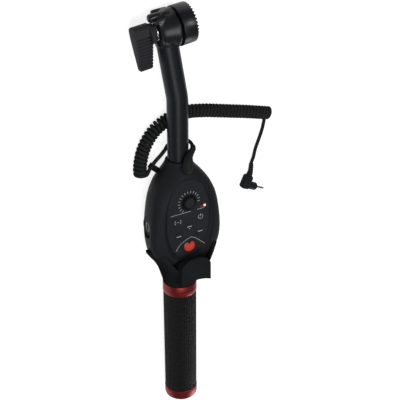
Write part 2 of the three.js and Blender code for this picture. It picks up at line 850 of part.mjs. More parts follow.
const chin = cut(
  solid(plate(chinFace, 0, chinFront + overrun, 10)).intersect(chinDepth),
  scoop,
);
const cradle = cut(
  join(
    cut(
      cradleOuter,
      solid(plate(lapel, 0, chinFront + overrun)),
      solid(plate(rearRim, -farX, farX).rotateY(-quarterTurn)),
    ),
    chin,
  ),
  headRoom,
  tubeBore,
  below(-restDepth),
);
add('cradle', cradle, blackPlastic());

// Grip: red rings, fluted rubber sleeve on a stiff core, and the cap that closes the bar

const coreRadius = gripCoreDiameter / 2;
const ringRadius = ringDiameter / 2;
const ringInner = coreRadius + fit;
add('grip_core', pipe(coreRadius, tubeRadius + fit, tubeBottom, upperRingTop, 24), blackPlastic());

const upperRingBottom = upperRingTop - upperRingLength;
const ringEdge = ringGroove;
const ringMiddle = (upperRingTop + upperRingBottom) / 2;
const upperRingPairs = [
  [ringInner, upperRingBottom],
  [ringRadius - ringEdge, upperRingBottom],
  [ringRadius, upperRingBottom + ringEdge],
  [ringRadius, ringMiddle - ringEdge],
  [ringRadius - ringGroove, ringMiddle],
  [ringRadius, ringMiddle + ringEdge],
  [ringRadius, upperRingTop - ringEdge],
  [ringRadius - ringEdge, upperRingTop],
  [ringInner, upperRingTop],
  [ringInner, upperRingBottom],
];
add('upper_ring', turned(upperRingPairs, 24), redAnodised());

const gripRadius = gripDiameter / 2;
const gripSteps = gripFlutes * 2;
const gripRing = (y, inset) => Array.from({ length: gripSteps }, (_, k) => {
  const radius = gripRadius - inset - (k % 2 ? gripFluteDepth : 0);
  const angle = (fullTurn * k) / gripSteps;
  return new THREE.Vector3(radius * Math.cos(angle), y, radius * Math.sin(angle));
});
const gripOuter = solid(skin([
  gripRing(gripBottom, gripFluteDepth),
  gripRing(gripBottom + gripFluteDepth * 2, 0),
  gripRing(gripTop - gripFluteDepth * 2, 0),
  gripRing(gripTop, gripFluteDepth),
]));
const gripBore = solid(rod(coreRadius + fit, gripBottom - overrun, gripTop + overrun));
add('grip_sleeve', cut(gripOuter, gripBore), blackRubber());

const lowerRingPairs = [
  [ringInner, barEndY + capThickness],
  [ringInner, barEndY],
  [ringRadius - ringEdge * 5, barEndY],
  [ringRadius - ringEdge * 2, barEndY + ringEdge],
  [ringRadius - ringEdge / 2, barEndY + ringEdge * 3],
  [ringRadius, barEndY + ringEdge * 6],
  [ringRadius, lowerRingTop - ringEdge * 4],
  [ringRadius - ringGroove, lowerRingTop - ringEdge * 3],
  [ringRadius, lowerRingTop - ringEdge * 2],
  [ringRadius, lowerRingTop - ringEdge],
  [ringRadius - ringEdge, lowerRingTop],
  [ringInner, lowerRingTop],
  [ringInner, barEndY + capThickness],
];
add('lower_ring', turned(lowerRingPairs, 24), redAnodised());

const capPlugDepth = 9;
const capRadius = ringInner - fit;
const plugRadius = tubeRadius - tubeWall - fit;
const endCapPairs = [
  [0, barEndY],
  [capRadius - fit, barEndY],
  [capRadius, barEndY + fit],
  [capRadius, barEndY + capThickness],
  [plugRadius, barEndY + capThickness],
  [plugRadius, barEndY + capThickness + capPlugDepth],
  [0, barEndY + capThickness + capPlugDepth],
];
add('end_cap', turned(endCapPairs, 24), blackPlastic());

// Clamp: its own group, X along the screw towards the rosette, Y along the tube's upper leg

const screwAxis = new THREE.Vector3(legReach, legShift, 0).normalize();
const clampFront = new THREE.Vector3().crossVectors(screwAxis, legDirection);
clamp.matrix.makeBasis(screwAxis, legDirection, clampFront).setPosition(clampCentre);
clamp.matrix.decompose(clamp.position, clamp.quaternion, clamp.scale);

const rosetteRadius = rosetteDiameter / 2;
const rosetteEnd = rosetteStart + rosetteLength;
const bossEnd = rosetteStart - fit;
const screwRoom = screwRadius + fit;
const flarePairs = [
  [0, -bossNose],
  [bossNoseRadius, -bossNose],
  [bossNoseRadius * 1.35, -bossNose * 0.4],
  [bossFlareRadius * 0.82, bossEnd * 0.4],
  [bossFlareRadius, bossEnd * 0.85],
  [bossFlareRadius, bossEnd],
  [0, bossEnd],
];
const flare = solid(alongX(turned(flarePairs, 24)));
const hoodOutline = new THREE.Shape();
hoodOutline.moveTo(bossEnd, 0);
hoodOutline.lineTo(bossEnd, bossFlareRadius - fit);
hoodOutline.quadraticCurveTo(bossNose, hoodHeight, bossNose / 2, hoodHeight);
hoodOutline.lineTo(-bossNose, hoodHeight * 0.84);
hoodOutline.quadraticCurveTo(-bossNose * 1.5, hoodHeight * 0.8, -bossNose * 1.4, hoodHeight * 0.6);
hoodOutline.lineTo(-bossNose * 0.9, hoodHeight * 0.3);
hoodOutline.lineTo(0, 0);
const hoodThick = new THREE.Shape(
  ovalPairs(bossNoseRadius * 1.6, hoodHeight + fit, 2.4, 28).map(([z, y]) => new THREE.Vector2(z, y)),
);
const hood = solid(plate(hoodOutline, -bossFlareRadius, bossFlareRadius, 6))
  .intersect(solid(plate(hoodThick, -bossFlareRadius, bossEnd).rotateY(quarterTurn)));
const finger = (from, to, y, z, radius) => {
  const round = radius * 0.3;
  const pairs = [
    [0, from],
    [radius - round, from],
    [radius, from + round],
    [radius, to],
    [0, to],
  ];
  return solid(alongX(turned(pairs, 14)).translate(0, y, z));
};
const sleeveRadius = tubeRadius + fit + sleeveWall;
const sleevePairs = [
  [0, -sleeveBottom],
  [sleeveRadius - sleeveWall / 2, -sleeveBottom],
  [sleeveRadius, -sleeveBottom + sleeveWall / 2],
  [sleeveRadius, -sleeveTop - sleeveWall],
  [sleeveRadius - sleeveWall, -sleeveTop],
  [0, -sleeveTop],
];
const socket = solid(rod(tubeRadius + fit, -sleeveBottom - overrun, -tubeTopGap + fit));
const boss = cut(
  join(
    flare,
    hood,
    solid(turned(sleevePairs, 24)),
    finger(-lipReach, 0, hoodHeight * 0.79, lipRadius * 0.6, lipRadius),
    finger(-lipReach / 2, bossNose, hoodHeight * 0.86, -lipRadius * 1.7, lipRadius * 0.8),
  ),
  socket,
  solid(alongX(rod(screwRoom, -bossNose - overrun, bossEnd + overrun, 20))),
  solid(block(
    [bossEnd, -sleeveRadius - overrun, -sleeveRadius - overrun],
    [bossEnd + overrun, sleeveRadius + overrun, sleeveRadius + overrun],
  )),
);
add('clamp_boss', boss, blackPaint(), clamp);

// Rosette: a disc with a ring of V teeth, a flat land inside them and a recess for its clip

const toothTip = rosetteEnd + toothHeight;
const landRadius = rosetteRadius - toothBandWidth;
const rosette = ringWithSections(toothCount * 2, (k) => {
  const crest = k % 2 ? rosetteEnd : toothTip;
  return [
    [screwRoom, rosetteStart],
    [rosetteRadius, rosetteStart],
    [rosetteRadius, rosetteEnd - fit],
    [rosetteRadius - fit, crest],
    [landRadius, crest],
    [landRadius - fit, rosetteEnd - fit],
    [rosetteRecessRadius, rosetteEnd - fit],
    [rosetteRecessRadius, rosetteEnd - rosetteRecessDepth],
    [screwRoom, rosetteEnd - rosetteRecessDepth],
  ];
});
add('rosette', alongX(rosette), blackPaint(), clamp);

const clipThickness = 1;
const clipFrom = rosetteEnd - rosetteRecessDepth + fit;
const clip = pipe(rosetteRecessRadius - fit * 4, screwRadius + fit / 3, clipFrom, clipFrom + clipThickness, 20);
add('retaining_ring', alongX(clip), steel(), clamp);

const screwTip = toothTip + screwProud;
const screwStart = -knobReach + hubRadius;
const screwPairs = [
  [0, screwStart],
  [screwRadius, screwStart],
  [screwRadius, screwTip - screwRadius / 3],
  [screwRadius * 0.7, screwTip],
  [0, screwTip],
];
add('clamp_screw', alongX(turned(screwPairs, 20)), steel(), clamp);

// Wing knob: a hub and a tapering paddle with cross ribs on both broad faces

const hubPairs = [
  [0, -paddleInnerTop - hubRadius / 2],
  [hubRadius, -paddleInnerTop - hubRadius / 2],
  [hubRadius, -hubFace - fit],
  [hubRadius - fit, -hubFace],
  [0, -hubFace],
];
const hub = solid(alongX(turned(hubPairs, 24)));
const halfThick = paddleThick / 2;
const halfThin = paddleThin / 2;
const paddleSide = new THREE.Shape();
paddleSide.moveTo(-halfThick, 0);
paddleSide.lineTo(-halfThick, paddleTop - halfThick);
paddleSide.quadraticCurveTo(-halfThick, paddleTop, 0, paddleTop);
paddleSide.quadraticCurveTo(halfThick, paddleTop, halfThick, paddleTop - halfThick);
paddleSide.lineTo(halfThick, 0);
paddleSide.lineTo(halfThin, -paddleBottom + halfThin);
paddleSide.quadraticCurveTo(halfThin, -paddleBottom, 0, -paddleBottom);
paddleSide.quadraticCurveTo(-halfThin, -paddleBottom, -halfThin, -paddleBottom + halfThin);
const cornerRound = 2;
const paddleFace = new THREE.Shape();
paddleFace.moveTo(-knobReach, -paddleBottom + cornerRound);
paddleFace.lineTo(-knobReach, paddleTop - cornerRound);
paddleFace.quadraticCurveTo(-knobReach, paddleTop, -knobReach + cornerRound, paddleTop);
paddleFace.lineTo(-paddleInnerTop, paddleTop);
paddleFace.lineTo(-paddleInnerTop, -hubRadius);
paddleFace.lineTo(-paddleInnerBottom, -paddleBottom + cornerRound);
paddleFace.quadraticCurveTo(
  -paddleInnerBottom, -paddleBottom, -paddleInnerBottom - cornerRound, -paddleBottom,
);
paddleFace.lineTo(-knobReach + cornerRound, -paddleBottom);
paddleFace.quadraticCurveTo(-knobReach, -paddleBottom, -knobReach, -paddleBottom + cornerRound);
const paddle = solid(plate(paddleFace, -paddleThick, paddleThick, 4)).intersect(
  solid(plate(paddleSide, -knobReach - overrun, overrun, 5).rotateY(quarterTurn)),
);
const ribStart = -hubRadius * 0.7;
const ribPitch = (paddleBottom + ribStart - cornerRound) / ribCount;
const grooveHalf = ribPitch * 0.3;
const grooveTools = [];
for (let k = 0; k < ribCount; k += 1) {
  const y = ribStart - ribPitch * (k + 0.5);
  const surface = THREE.MathUtils.mapLinear(y, 0, -paddleBottom, halfThick, halfThin);
  for (const side of [-1, 1]) {
    const groove = outline([
      [side * (surface - ribDepth), y],
      [side * (surface + ribDepth), y + grooveHalf * 2],
      [side * (surface + ribDepth), y - grooveHalf * 2],
    ]);
    grooveTools.push(solid(plate(groove, -knobReach + cornerRound, overrun).rotateY(quarterTurn)));
  }
}
const wingKnob = cut(
  join(hub, paddle),
  ...grooveTools,
  solid(alongX(rod(screwRadius + fit / 3, screwStart - fit, overrun, 20))),
);
add('wing_knob', wingKnob, blackPlastic(), clamp);

// Cable boot: a bent, tapering strain relief from the shoulder round the tube's right side

const point = ([x, y, z]) => new THREE.Vector3(x, y, z);
const cordRadius = cordDiameter / 2;

function tubeAlong(route, radiusAt, steps, sides) {
  const curve = new THREE.CatmullRomCurve3(route.map(point), false, 'centripetal');
  const frames = curve.computeFrenetFrames(steps, false);
  const rings = [];
  for (let k = 0; k <= steps; k += 1) {
    const centre = curve.getPointAt(k / steps);
    const radius = radiusAt(k / steps);
    rings.push(Array.from({ length: sides }, (_, j) => {
      const angle = (fullTurn * j) / sides;
      return centre.clone()
        .addScaledVector(frames.normals[k], radius * Math.cos(angle))
        .addScaledVector(frames.binormals[k], radius * Math.sin(angle));
    }));
  }
  return skin(rings);
}

const bootRoute = [
  [0.1, 31, 14.4],
  [0, 36, 15.5],
  [0.2, 40.5, 15.3],
  [1.6, 45.1, 13.8],
  [6.6, 48.7, 10.4],
  [11, 50.4, 6.9],
  [12.4, 51.8, 3.2],
];
const bootRadiusAt = (share) => THREE.MathUtils.lerp(bootBaseRadius, bootTipRadius, share);
const boot = cut(
  solid(tubeAlong(bootRoute, bootRadiusAt, 12, 12)),
  headRoom,
  solid(rod(tubeRadius + fit, 0, bendY - bendTangent)),
);
add('cable_boot', boot, blackRubber());
cordNodes.add('cable_boot');

// Cord: a tail from the boot to the coil, the coil, and a lead to the plug

const tableZ = -restDepth;
const cordZ = tableZ + cordRadius;
const coilZ = cordZ + curlRadius;
const coilTopZ = coilZ + curlRadius;
const clippedFrom = [-17.9, 38.3, -8.9];
const clippedTo = [-21.2, 34.6, -9];
const tailRoute = [
  [12.6, 52.2, 2.3],
  [12.3, 53.4, 0.2],
  [11.3, 54.3, -2.9],
  [9.2, 54.4, -6.6],
  [5.6, 53.5, -9.9],
  [0.5, 51.8, -11.5],
  [-4.2, 49.9, -10.9],
  [-8, 47.4, -8.8],
  [-12.8, 43.1, -8.4],
  clippedFrom,
  clippedTo,
  [-22.9, 31.5, -9.9],
  [-23.9, 28.9, -10.8],
  [-24.9, 26.6, coilTopZ],
  [-26.3, 26.2, coilTopZ],
];

function cordSection(sides) {
  return new THREE.Shape(Array.from({ length: sides }, (_, k) => {
    const angle = (fullTurn * (k + 0.5)) / sides;
    return new THREE.Vector2(cordRadius * Math.cos(angle), cordRadius * Math.sin(angle));
  }));
}

function freeCord(name, route, steps) {
  const path = new THREE.CatmullRomCurve3(route.map(point), false, 'centripetal');
  add(name, new THREE.ExtrudeGeometry(cordSection(8), { extrudePath: path, steps }), blackRubber());
  cordNodes.add(name);
}
freeCord('cord_tail', tailRoute, 24);

const coilRoute = [
  [-29.3, 26.2],
  [-29.5, 32.1],
  [-28.4, 39.5],
  [-26.4, 46.8],
  [-23.2, 53.6],
  [-18.8, 60.1],
  [-12.4, 66.2],
  [-3.7, 71],
  [7, 74.4],
  [18, 75.2],
  [34, 73],
  [51.6, 69],
  [67.5, 65.2],
  [83.4, 61.3],
  [95, 58.2],
  [104, 55.9],
];
const coilAxis = new THREE.CatmullRomCurve3(
  coilRoute.map(([x, y]) => new THREE.Vector3(x, y, coilZ)), false, 'centripetal',
);
const vertical = new THREE.Vector3(0, 0, 1);
const sideOf = (along) => new THREE.Vector3().crossVectors(along, vertical).normalize();

function curlPoint(share) {
  const along = coilAxis.getTangentAt(share);
  const angle = quarterTurn + fullTurn * (curlCount + 0.5) * share;
  return coilAxis.getPointAt(share)
    .addScaledVector(sideOf(along), curlRadius * Math.cos(angle))
    .addScaledVector(vertical, curlRadius * Math.sin(angle));
}

function coilWire(stepsPerCurl) {
  const steps = Math.round((curlCount + 0.5) * stepsPerCurl);
  const points = Array.from({ length: steps + 1 }, (_, k) => curlPoint(k / steps));
  const startSide = sideOf(coilAxis.getTangentAt(0));
  const endSide = sideOf(coilAxis.getTangentAt(1));
  const straight = cordDiameter;
  points.unshift(points[0].clone().addScaledVector(startSide, straight));
  points.push(points.at(-1).clone().addScaledVector(endSide, straight));
  return points;
}

// A tube through points, its section carried along without twist
function wireSkin(points, radius, sides) {
  const rings = [];
  let across = vertical.clone();
  points.forEach((centre, k) => {
    const before = points[Math.max(k - 1, 0)];
    const after = points[Math.min(k + 1, points.length - 1)];
    const along = after.clone().sub(before).normalize();
    across.addScaledVector(along, -across.dot(along)).normalize();
    const other = new THREE.Vector3().crossVectors(along, across);
    rings.push(Array.from({ length: sides }, (_, j) => {
      const angle = (fullTurn * j) / sides;
      return centre.clone()
        .addScaledVector(across, radius * Math.cos(angle))
        .addScaledVector(other, radius * Math.sin(angle));
    }));
    across = across.clone();
  });
  return skin(rings);
}

// The least gap between stretches of a wire that are more than half a curl apart
function leastGap(points, diameter, apart) {
  let least = Infinity;
  for (let i = 0; i < points.length; i += 1) {
    for (let j = i + apart; j < points.length; j += 1) {
      least = Math.min(least, points[i].distanceTo(points[j]));
    }
  }
  return least - diameter;
}

add('cord_coil', wireSkin(coilWire(curlSteps), cordRadius, curlSides), blackRubber());
cordNodes.add('cord_coil');
const fineSteps = 24;
const coilGap = leastGap(coilWire(fineSteps), cordDiameter, fineSteps / 2);
console.log(`least gap of the coil to itself ${coilGap.toFixed(2)} mm`);

const coilEnd = coilWire(curlSteps).at(-1);
const leadDirection = sideOf(coilAxis.getTangentAt(1));
const leadStart = coilEnd.clone().addScaledVector(leadDirection, fit);
const plugZ = tableZ + plugHeight / 2;
const leadRoute = [
  leadStart.toArray(),
  [101.7, 46.6, cordZ],
  [100.1, 39.1, cordZ],
  [96.8, 29.6, cordZ],
  [93, 20.4, cordZ + fit],
  [89.9, 12.9, plugZ - fit],
  [87.7, 8, plugZ],
];
freeCord('cord_lead', leadRoute, 12);

// Plug: boot, right-angled body and pin, lying on the table

const plugTop = [85.5, -4.5, plugZ];
const plugAlong = new THREE.Vector3(-0.42, -0.907, 0).normalize();
const plug = new THREE.Group();
const plugSide = new THREE.Vector3().crossVectors(vertical, plugAlong);
plug.matrix.makeBasis(plugSide, plugAlong, vertical.clone().negate()).setPosition(point(plugTop));
plug.matrix.decompose(plug.position, plug.quaternion, plug.scale);
remote.add(plug);

const plugBootRoute = [
  [87.6, 7.5, plugZ],
  [87.3, 2.6, plugZ],
  [86.5, -2.2, plugZ],
  [85.7, -4, plugZ],
];
const plugBootAt = (share) => THREE.MathUtils.lerp(plugBootTipRadius, plugBootRadius, share);
add('plug_boot', tubeAlong(plugBootRoute, plugBootAt, 6, 12), blackRubber());
const bodyShape = new THREE.Shape(
  ovalPairs(plugWidth / 2, plugHeight / 2, 3, 20).map(([x, z]) => new THREE.Vector2(x, z)),
);
const plugBody = join(
  solid(alongZ(plate(bodyShape, -plugLength, 0))),
  solid(alongX(rod(plugBarrelRadius, 0, plugBarrelReach, 18)).translate(0, plugBarrelPlace, 0)),
);
add('plug_body', plugBody, blackPlastic(), plug);
const pinRadius = plugPinDiameter / 2;
const pinPairs = [
  [0, 0],
  [pinRadius, 0],
  [pinRadius, plugPinLength * 0.45],
  [pinRadius * 0.9, plugPinLength * 0.47],
  [pinRadius * 0.9, plugPinLength * 0.5],
  [pinRadius, plugPinLength * 0.52],
  [pinRadius, plugPinLength * 0.66],
  [pinRadius * 0.9, plugPinLength * 0.68],
  [pinRadius * 0.9, plugPinLength * 0.71],
  [pinRadius, plugPinLength * 0.73],
  [pinRadius, plugPinLength * 0.8],
  [pinRadius * 0.55, plugPinLength * 0.88],
  [pinRadius * 0.95, plugPinLength * 0.93],
  [0, plugPinLength],
];
const pin = alongX(turned(pinPairs, 12)).translate(plugBarrelReach + fit, plugBarrelPlace, 0);
add('plug_pin', pin, steel(), plug);
['plug_boot', 'plug_body', 'plug_pin'].forEach((name) => cordNodes.add(name));

// Cord clip: a loop round the tail with a foot on the head's left shoulder

const clipCentre = point(clippedTo);
const clipAlong = point(clippedTo).sub(point(clippedFrom)).normalize();
const clipLength = 5;
const clipWall = 1.3;
const clipFootLength = 10;
const clipLoop = cordRadius + fit + clipWall;
const clipBasis = new THREE.Matrix4();
const clipInward = new THREE.Vector3(1, 0, 0).addScaledVector(clipAlong, -clipAlong.x).normalize();
const clipAcross = new THREE.Vector3().crossVectors(clipInward, clipAlong);
clipBasis.makeBasis(clipInward, clipAlong, clipAcross).setPosition(clipCentre);
const clipRing = rod(clipLoop, -clipLength / 2, clipLength / 2, 14).applyMatrix4(clipBasis);
const clipFoot = block(
  [0, -clipLength / 2, -clipLoop],
  [clipFootLength, clipLength / 2, clipLoop * 0.4],
).applyMatrix4(clipBasis);
const clipRoom = new THREE.CatmullRomCurve3(tailRoute.map(point), false, 'centripetal');
const clipBore = solid(tubeAlong(
  clipRoom.getSpacedPoints(30).map((p) => p.toArray()), () => cordRadius + fit, 30, 8,
));
const cordClip = cut(
  join(solid(clipRing), solid(clipFoot)),
  clipBore,
  headRoom,
);
add('cord_clip', cordClip, blackPlastic());

// The origin is the middle of the footprint of all but the cord, at table height

remote.updateMatrixWorld(true);
const bounds = new THREE.Box3();
remote.traverse((node) => {
  if (node.isMesh && !cordNodes.has(node.name)) bounds.expandByObject(node, true);
});
const middle = bounds.getCenter(new THREE.Vector3());
remote.position.set(-middle.x, -middle.y, -bounds.min.z);

export default remote;
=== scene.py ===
import json
import math

import bmesh
import bpy
import numpy as np
from mathutils import Matrix, Vector

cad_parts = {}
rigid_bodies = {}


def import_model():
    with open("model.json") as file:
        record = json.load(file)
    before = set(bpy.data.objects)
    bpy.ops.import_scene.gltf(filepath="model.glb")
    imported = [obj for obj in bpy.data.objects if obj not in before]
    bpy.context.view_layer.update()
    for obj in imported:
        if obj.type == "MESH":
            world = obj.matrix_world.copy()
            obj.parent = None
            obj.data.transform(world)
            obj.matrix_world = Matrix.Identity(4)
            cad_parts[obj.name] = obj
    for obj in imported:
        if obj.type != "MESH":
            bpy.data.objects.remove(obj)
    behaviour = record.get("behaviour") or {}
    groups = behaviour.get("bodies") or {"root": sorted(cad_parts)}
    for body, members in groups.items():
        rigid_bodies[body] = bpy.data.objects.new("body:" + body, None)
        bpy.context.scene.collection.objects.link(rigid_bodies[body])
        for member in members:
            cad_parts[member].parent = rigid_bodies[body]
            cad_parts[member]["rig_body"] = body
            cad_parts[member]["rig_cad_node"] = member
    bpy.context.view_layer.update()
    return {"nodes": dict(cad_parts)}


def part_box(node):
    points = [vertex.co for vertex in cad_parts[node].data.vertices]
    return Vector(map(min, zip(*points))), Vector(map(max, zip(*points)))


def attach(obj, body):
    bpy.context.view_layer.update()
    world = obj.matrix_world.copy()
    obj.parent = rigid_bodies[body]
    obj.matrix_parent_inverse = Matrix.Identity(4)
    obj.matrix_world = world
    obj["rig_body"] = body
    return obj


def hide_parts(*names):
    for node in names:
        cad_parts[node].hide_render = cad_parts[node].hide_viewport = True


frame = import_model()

# Camera: above and to the right of the bar's foot end, rolled so that the bar stands upright
# in the picture. Places are millimetres from the bar's own axis, with the table at table_z.
core_low, core_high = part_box("grip_core")
core_end = 83.3  # the grip's core ends this far below the middle of the head
bar_zero = Vector(((core_low.x + core_high.x) / 2,
                   core_high.y + core_end / 1000,
                   (core_low.z + core_high.z) / 2))
table_z = -bar_zero.z * 1000


def at(x, y, z):
    return bar_zero + Vector((x, y, z)) / 1000


def linked(name, data):
    piece = bpy.data.objects.new(name, data)
    bpy.context.scene.collection.objects.link(piece)
    return piece


camera_distance = 0.797
camera_shift = 0.01895
view_right = Vector((0.866, 0, 0.5))
view_back = Vector((-0.4394, 0.4772, 0.7611))
view_up = view_back.cross(view_right)
camera_data = bpy.data.cameras.new("camera")
camera_data.sensor_width = 36
camera_data.lens = 81
camera = linked("camera", camera_data)
camera_turn = Matrix((view_right, view_up, view_back)).transposed().to_4x4()
camera_place = bar_zero + view_back * camera_distance + view_right * camera_shift
camera.matrix_world = Matrix.Translation(camera_place) @ camera_turn
bpy.context.scene.camera = camera
bpy.context.scene.view_settings.view_transform = "Standard"


# Cord: 1.47 m of screened lead, 3.4 mm thick, with a matt rubber jacket. A short tail leaves the
# boot, the middle is wound and heat-set into a curly coil, and a straight lead goes to the plug.
class Shade:
    """A shader socket. Sums on it add Math nodes, and node() adds any other node."""

    def __init__(self, tree, socket=None):
        self.tree = tree
        self.socket = socket

    def node(self, kind, settings=None, sockets=None, out=0):
        made = self.tree.nodes.new("ShaderNode" + kind)
        for name, value in (settings or {}).items():
            setattr(made, name, value)
        for name, value in (sockets or {}).items():
            if isinstance(value, Shade):
                self.tree.links.new(value.socket, made.inputs[name])
            else:
                made.inputs[name].default_value = value
        return Shade(self.tree, made.outputs[out])

    def math(self, operation, first, second):
        return self.node("Math", {"operation": operation}, {0: first, 1: second})

    def __add__(self, other):
        return self.math("ADD", self, other)

    def __mul__(self, other):
        return self.math("MULTIPLY", self, other)

    def mix(self, dark, light):
        colours = {0: self, 6: linear(dark), 7: linear(light)}
        return self.node("Mix", {"data_type": "RGBA"}, colours, out=2)

    __radd__ = __add__
    __rmul__ = __mul__


def linear(code):
    """A six-digit screen colour as the light that it stands for."""
    parts = [int(code[k:k + 2], 16) / 255 for k in (0, 2, 4)]
    return (*(p / 12.92 if p < 0.04045 else ((p + 0.055) / 1.055) ** 2.4 for p in parts), 1)


def material(name, metallic=0.0, **constants):
    made = bpy.data.materials.new(name)
    made.use_nodes = True
    shader = made.node_tree.nodes["Principled BSDF"]
    shader.inputs["Metallic"].default_value = metallic
    for socket, value in constants.items():
        shader.inputs[socket.replace("_", " ")].default_value = value
    return made, shader, Shade(made.node_tree)


def connect(shader, **sockets):
    for name, value in sockets.items():
        value.tree.links.new(value.socket, shader.inputs[name.replace("_", " ")])


def grained(name, dark, light, rough, swing, grain, height, metallic=0.0, **constants):
    """A surface whose colour and gloss drift slowly, over a fine grain of that size in mm."""
    made, shader, shade = material(name, metallic, **constants)
    place = shade.node("TexCoord", out=3)
    drift = shade.node("TexNoise", None, {"Vector": place, "Scale": 60.0, "Detail": 3.0})
    grains = shade.node("TexNoise", None, {"Vector": place, "Scale": 1000 / grain, "Detail": 2.0})
    worn = drift * 0.7 + grains * 0.3
    bump = shade.node("Bump", None, {"Height": grains, "Strength": 1.0, "Distance": height / 1000})
    connect(shader, Base_Color=worn.mix(dark, light), Normal=bump,
            Roughness=drift * swing + (rough - swing / 2))
    return made


jacket = grained("cord_rubber", "1b1c1c", "2b2c2c", 0.62, 0.16, 0.5, 0.02, Specular_IOR_Level=0.03)
tail_route = [
    (12.6, 52.2, 2.3), (12.3, 53.4, 0.2), (11.3, 54.3, -2.9), (9.2, 54.4, -6.6),
    (5.6, 53.5, -9.9), (0.5, 51.8, -11.5), (-4.2, 49.9, -10.9), (-8, 47.4, -8.8),
    (-12.8, 43.1, -8.4), (-17.9, 38.3, -8.9), (-21.2, 34.6, -9), (-22.9, 31.5, -9.9),
]
coil_route = [
    (-29.3, 26.2), (-29.5, 32.1), (-28.4, 39.5), (-26.4, 46.8), (-23.2, 53.6), (-18.8, 60.1),
    (-12.4, 66.2), (-3.7, 71), (7, 74.4), (18, 75.2), (34, 73), (51.6, 69), (67.5, 65.2),
    (83.4, 61.3), (95, 58.2), (103.2, 56.1),
]
curl_radius = 4.6
curl_count = 46.5
cord_radius = 1.7
cord_z = table_z + cord_radius
coil_z = cord_z + curl_radius + 0.03
plug_z = table_z + 4
lead_route = [
    (101.7, 46.6, cord_z), (100.1, 39.1, cord_z), (96.8, 29.6, cord_z), (93, 20.4, cord_z + 0.3),
    (89.9, 12.9, plug_z - 0.3), (87.7, 8, plug_z), (87.45, 4, plug_z),
]


def route_places(points, count, fineness=24):
    """Equally spaced places on a centripetal Catmull-Rom curve through the points."""
    rows = [np.array(p, float) for p in points]
    rows = [2 * rows[0] - rows[1], *rows, 2 * rows[-1] - rows[-2]]
    fine = []
    for a, b, c, d in zip(rows, rows[1:], rows[2:], rows[3:]):
        t0 = 0.0
        t1 = t0 + np.linalg.norm(b - a) ** 0.5
        t2 = t1 + np.linalg.norm(c - b) ** 0.5
        t3 = t2 + np.linalg.norm(d - c) ** 0.5
        for t in np.linspace(t1, t2, fineness, endpoint=False):
            ab = a + (b - a) * (t - t0) / (t1 - t0)
            bc = b + (c - b) * (t - t1) / (t2 - t1)
            cd = c + (d - c) * (t - t2) / (t3 - t2)
            abc = ab + (bc - ab) * (t - t0) / (t2 - t0)
            bcd = bc + (cd - bc) * (t - t1) / (t3 - t1)
            fine.append(abc + (bcd - abc) * (t - t1) / (t2 - t1))
    fine = np.array([*fine, rows[-2]])
    walked = np.concatenate([[0], np.cumsum(np.linalg.norm(np.diff(fine, axis=0), axis=1))])
    stops = np.linspace(0, walked[-1], count)
    return np.stack([np.interp(stops, walked, fine[:, k]) for k in range(3)], 1)


def round_curve(name, places, radius, resolution, sizes=None):
    """A round curve through places in millimetres, which sizes make thicker along the way."""
    curve = bpy.data.curves.new(name, "CURVE")
    curve.dimensions = "3D"
    curve.bevel_depth = radius / 1000
    curve.bevel_resolution = resolution
    curve.use_fill_caps = True
    line = curve.splines.new("POLY")
    line.points.add(len(places) - 1)
    line.use_smooth = True
    if sizes is None:
        sizes = np.ones(len(places))
    for spot, place, size in zip(line.points, places, sizes):
        spot.co = (*at(*place), 1)
        spot.radius = size
    return linked(name, curve)


upright = np.array((0, 0, 1))
curl_steps = 20
coil_axis = route_places([(x, y, coil_z) for x, y in coil_route],
                         round(curl_count * curl_steps) + 1)
coil_along = np.gradient(coil_axis, axis=0)
coil_along /= np.linalg.norm(coil_along, axis=1)[:, None]
coil_side = np.cross(coil_along, upright)
curl_angle = math.pi / 2 + np.linspace(0, math.tau * curl_count, len(coil_axis))[:, None]
curls = coil_axis + curl_radius * (coil_side * np.cos(curl_angle) + upright * np.sin(curl_angle))
tail_swing, tail_close, lead_swing = 4.4, 2, 2.4  # how far beside the coil the ends run up to it
into_coil = [curls[0] + coil_side[0] * tail_swing + (0, 0.4, -0.4),
             curls[0] + coil_side[0] * tail_close]
tail = route_places([*tail_route, *into_coil, curls[1]], 90)[:-1]
lead = route_places([curls[-1], curls[-1] + coil_side[-1] * lead_swing, *lead_route], 50)[1:]
cord_places = np.concatenate([tail, curls[1:], lead])
cord = round_curve("cord", cord_places, cord_radius, 2)
cord.data.materials.append(jacket)
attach(cord, "bar_body")
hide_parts("cord_tail", "cord_coil", "cord_lead")


# Cable boot: a rubber strain relief moulded onto the cord. It stands up from the head's
# shoulder, leans on the tube and bends round its right side, and its neck is ringed.
rubber = grained("moulded_rubber", "171818", "242525", 0.6, 0.2, 0.6, 0.03,
                 Specular_IOR_Level=0.08)


def alone(piece):
    bpy.ops.object.select_all(action="DESELECT")
    piece.select_set(True)
    bpy.context.view_layer.objects.active = piece


def smoothed(piece, angle):
    alone(piece)
    bpy.ops.object.shade_smooth_by_angle(angle=math.radians(angle))
    return piece


def dressed(piece, finish, body, slot, *nodes):
    piece.data.materials.clear()
    piece.data.materials.append(finish)
    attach(piece, body)
    if nodes:
        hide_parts(*nodes)
    return piece


def tube_mesh(name, places, radius, resolution, sizes=None):
    """A round curve made into a mesh."""
    alone(round_curve(name, places, radius, resolution, sizes))
    bpy.ops.object.convert(target="MESH")
    return smoothed(bpy.context.object, 40)


def soft_tube(name, points, radii, count, resolution):
    """A soft tube through the points, its radius read off along the way."""
    sizes = np.interp(np.linspace(0, 1, count), np.linspace(0, 1, len(radii)), radii)
    return tube_mesh(name, route_places(points, count), 1, resolution, sizes)


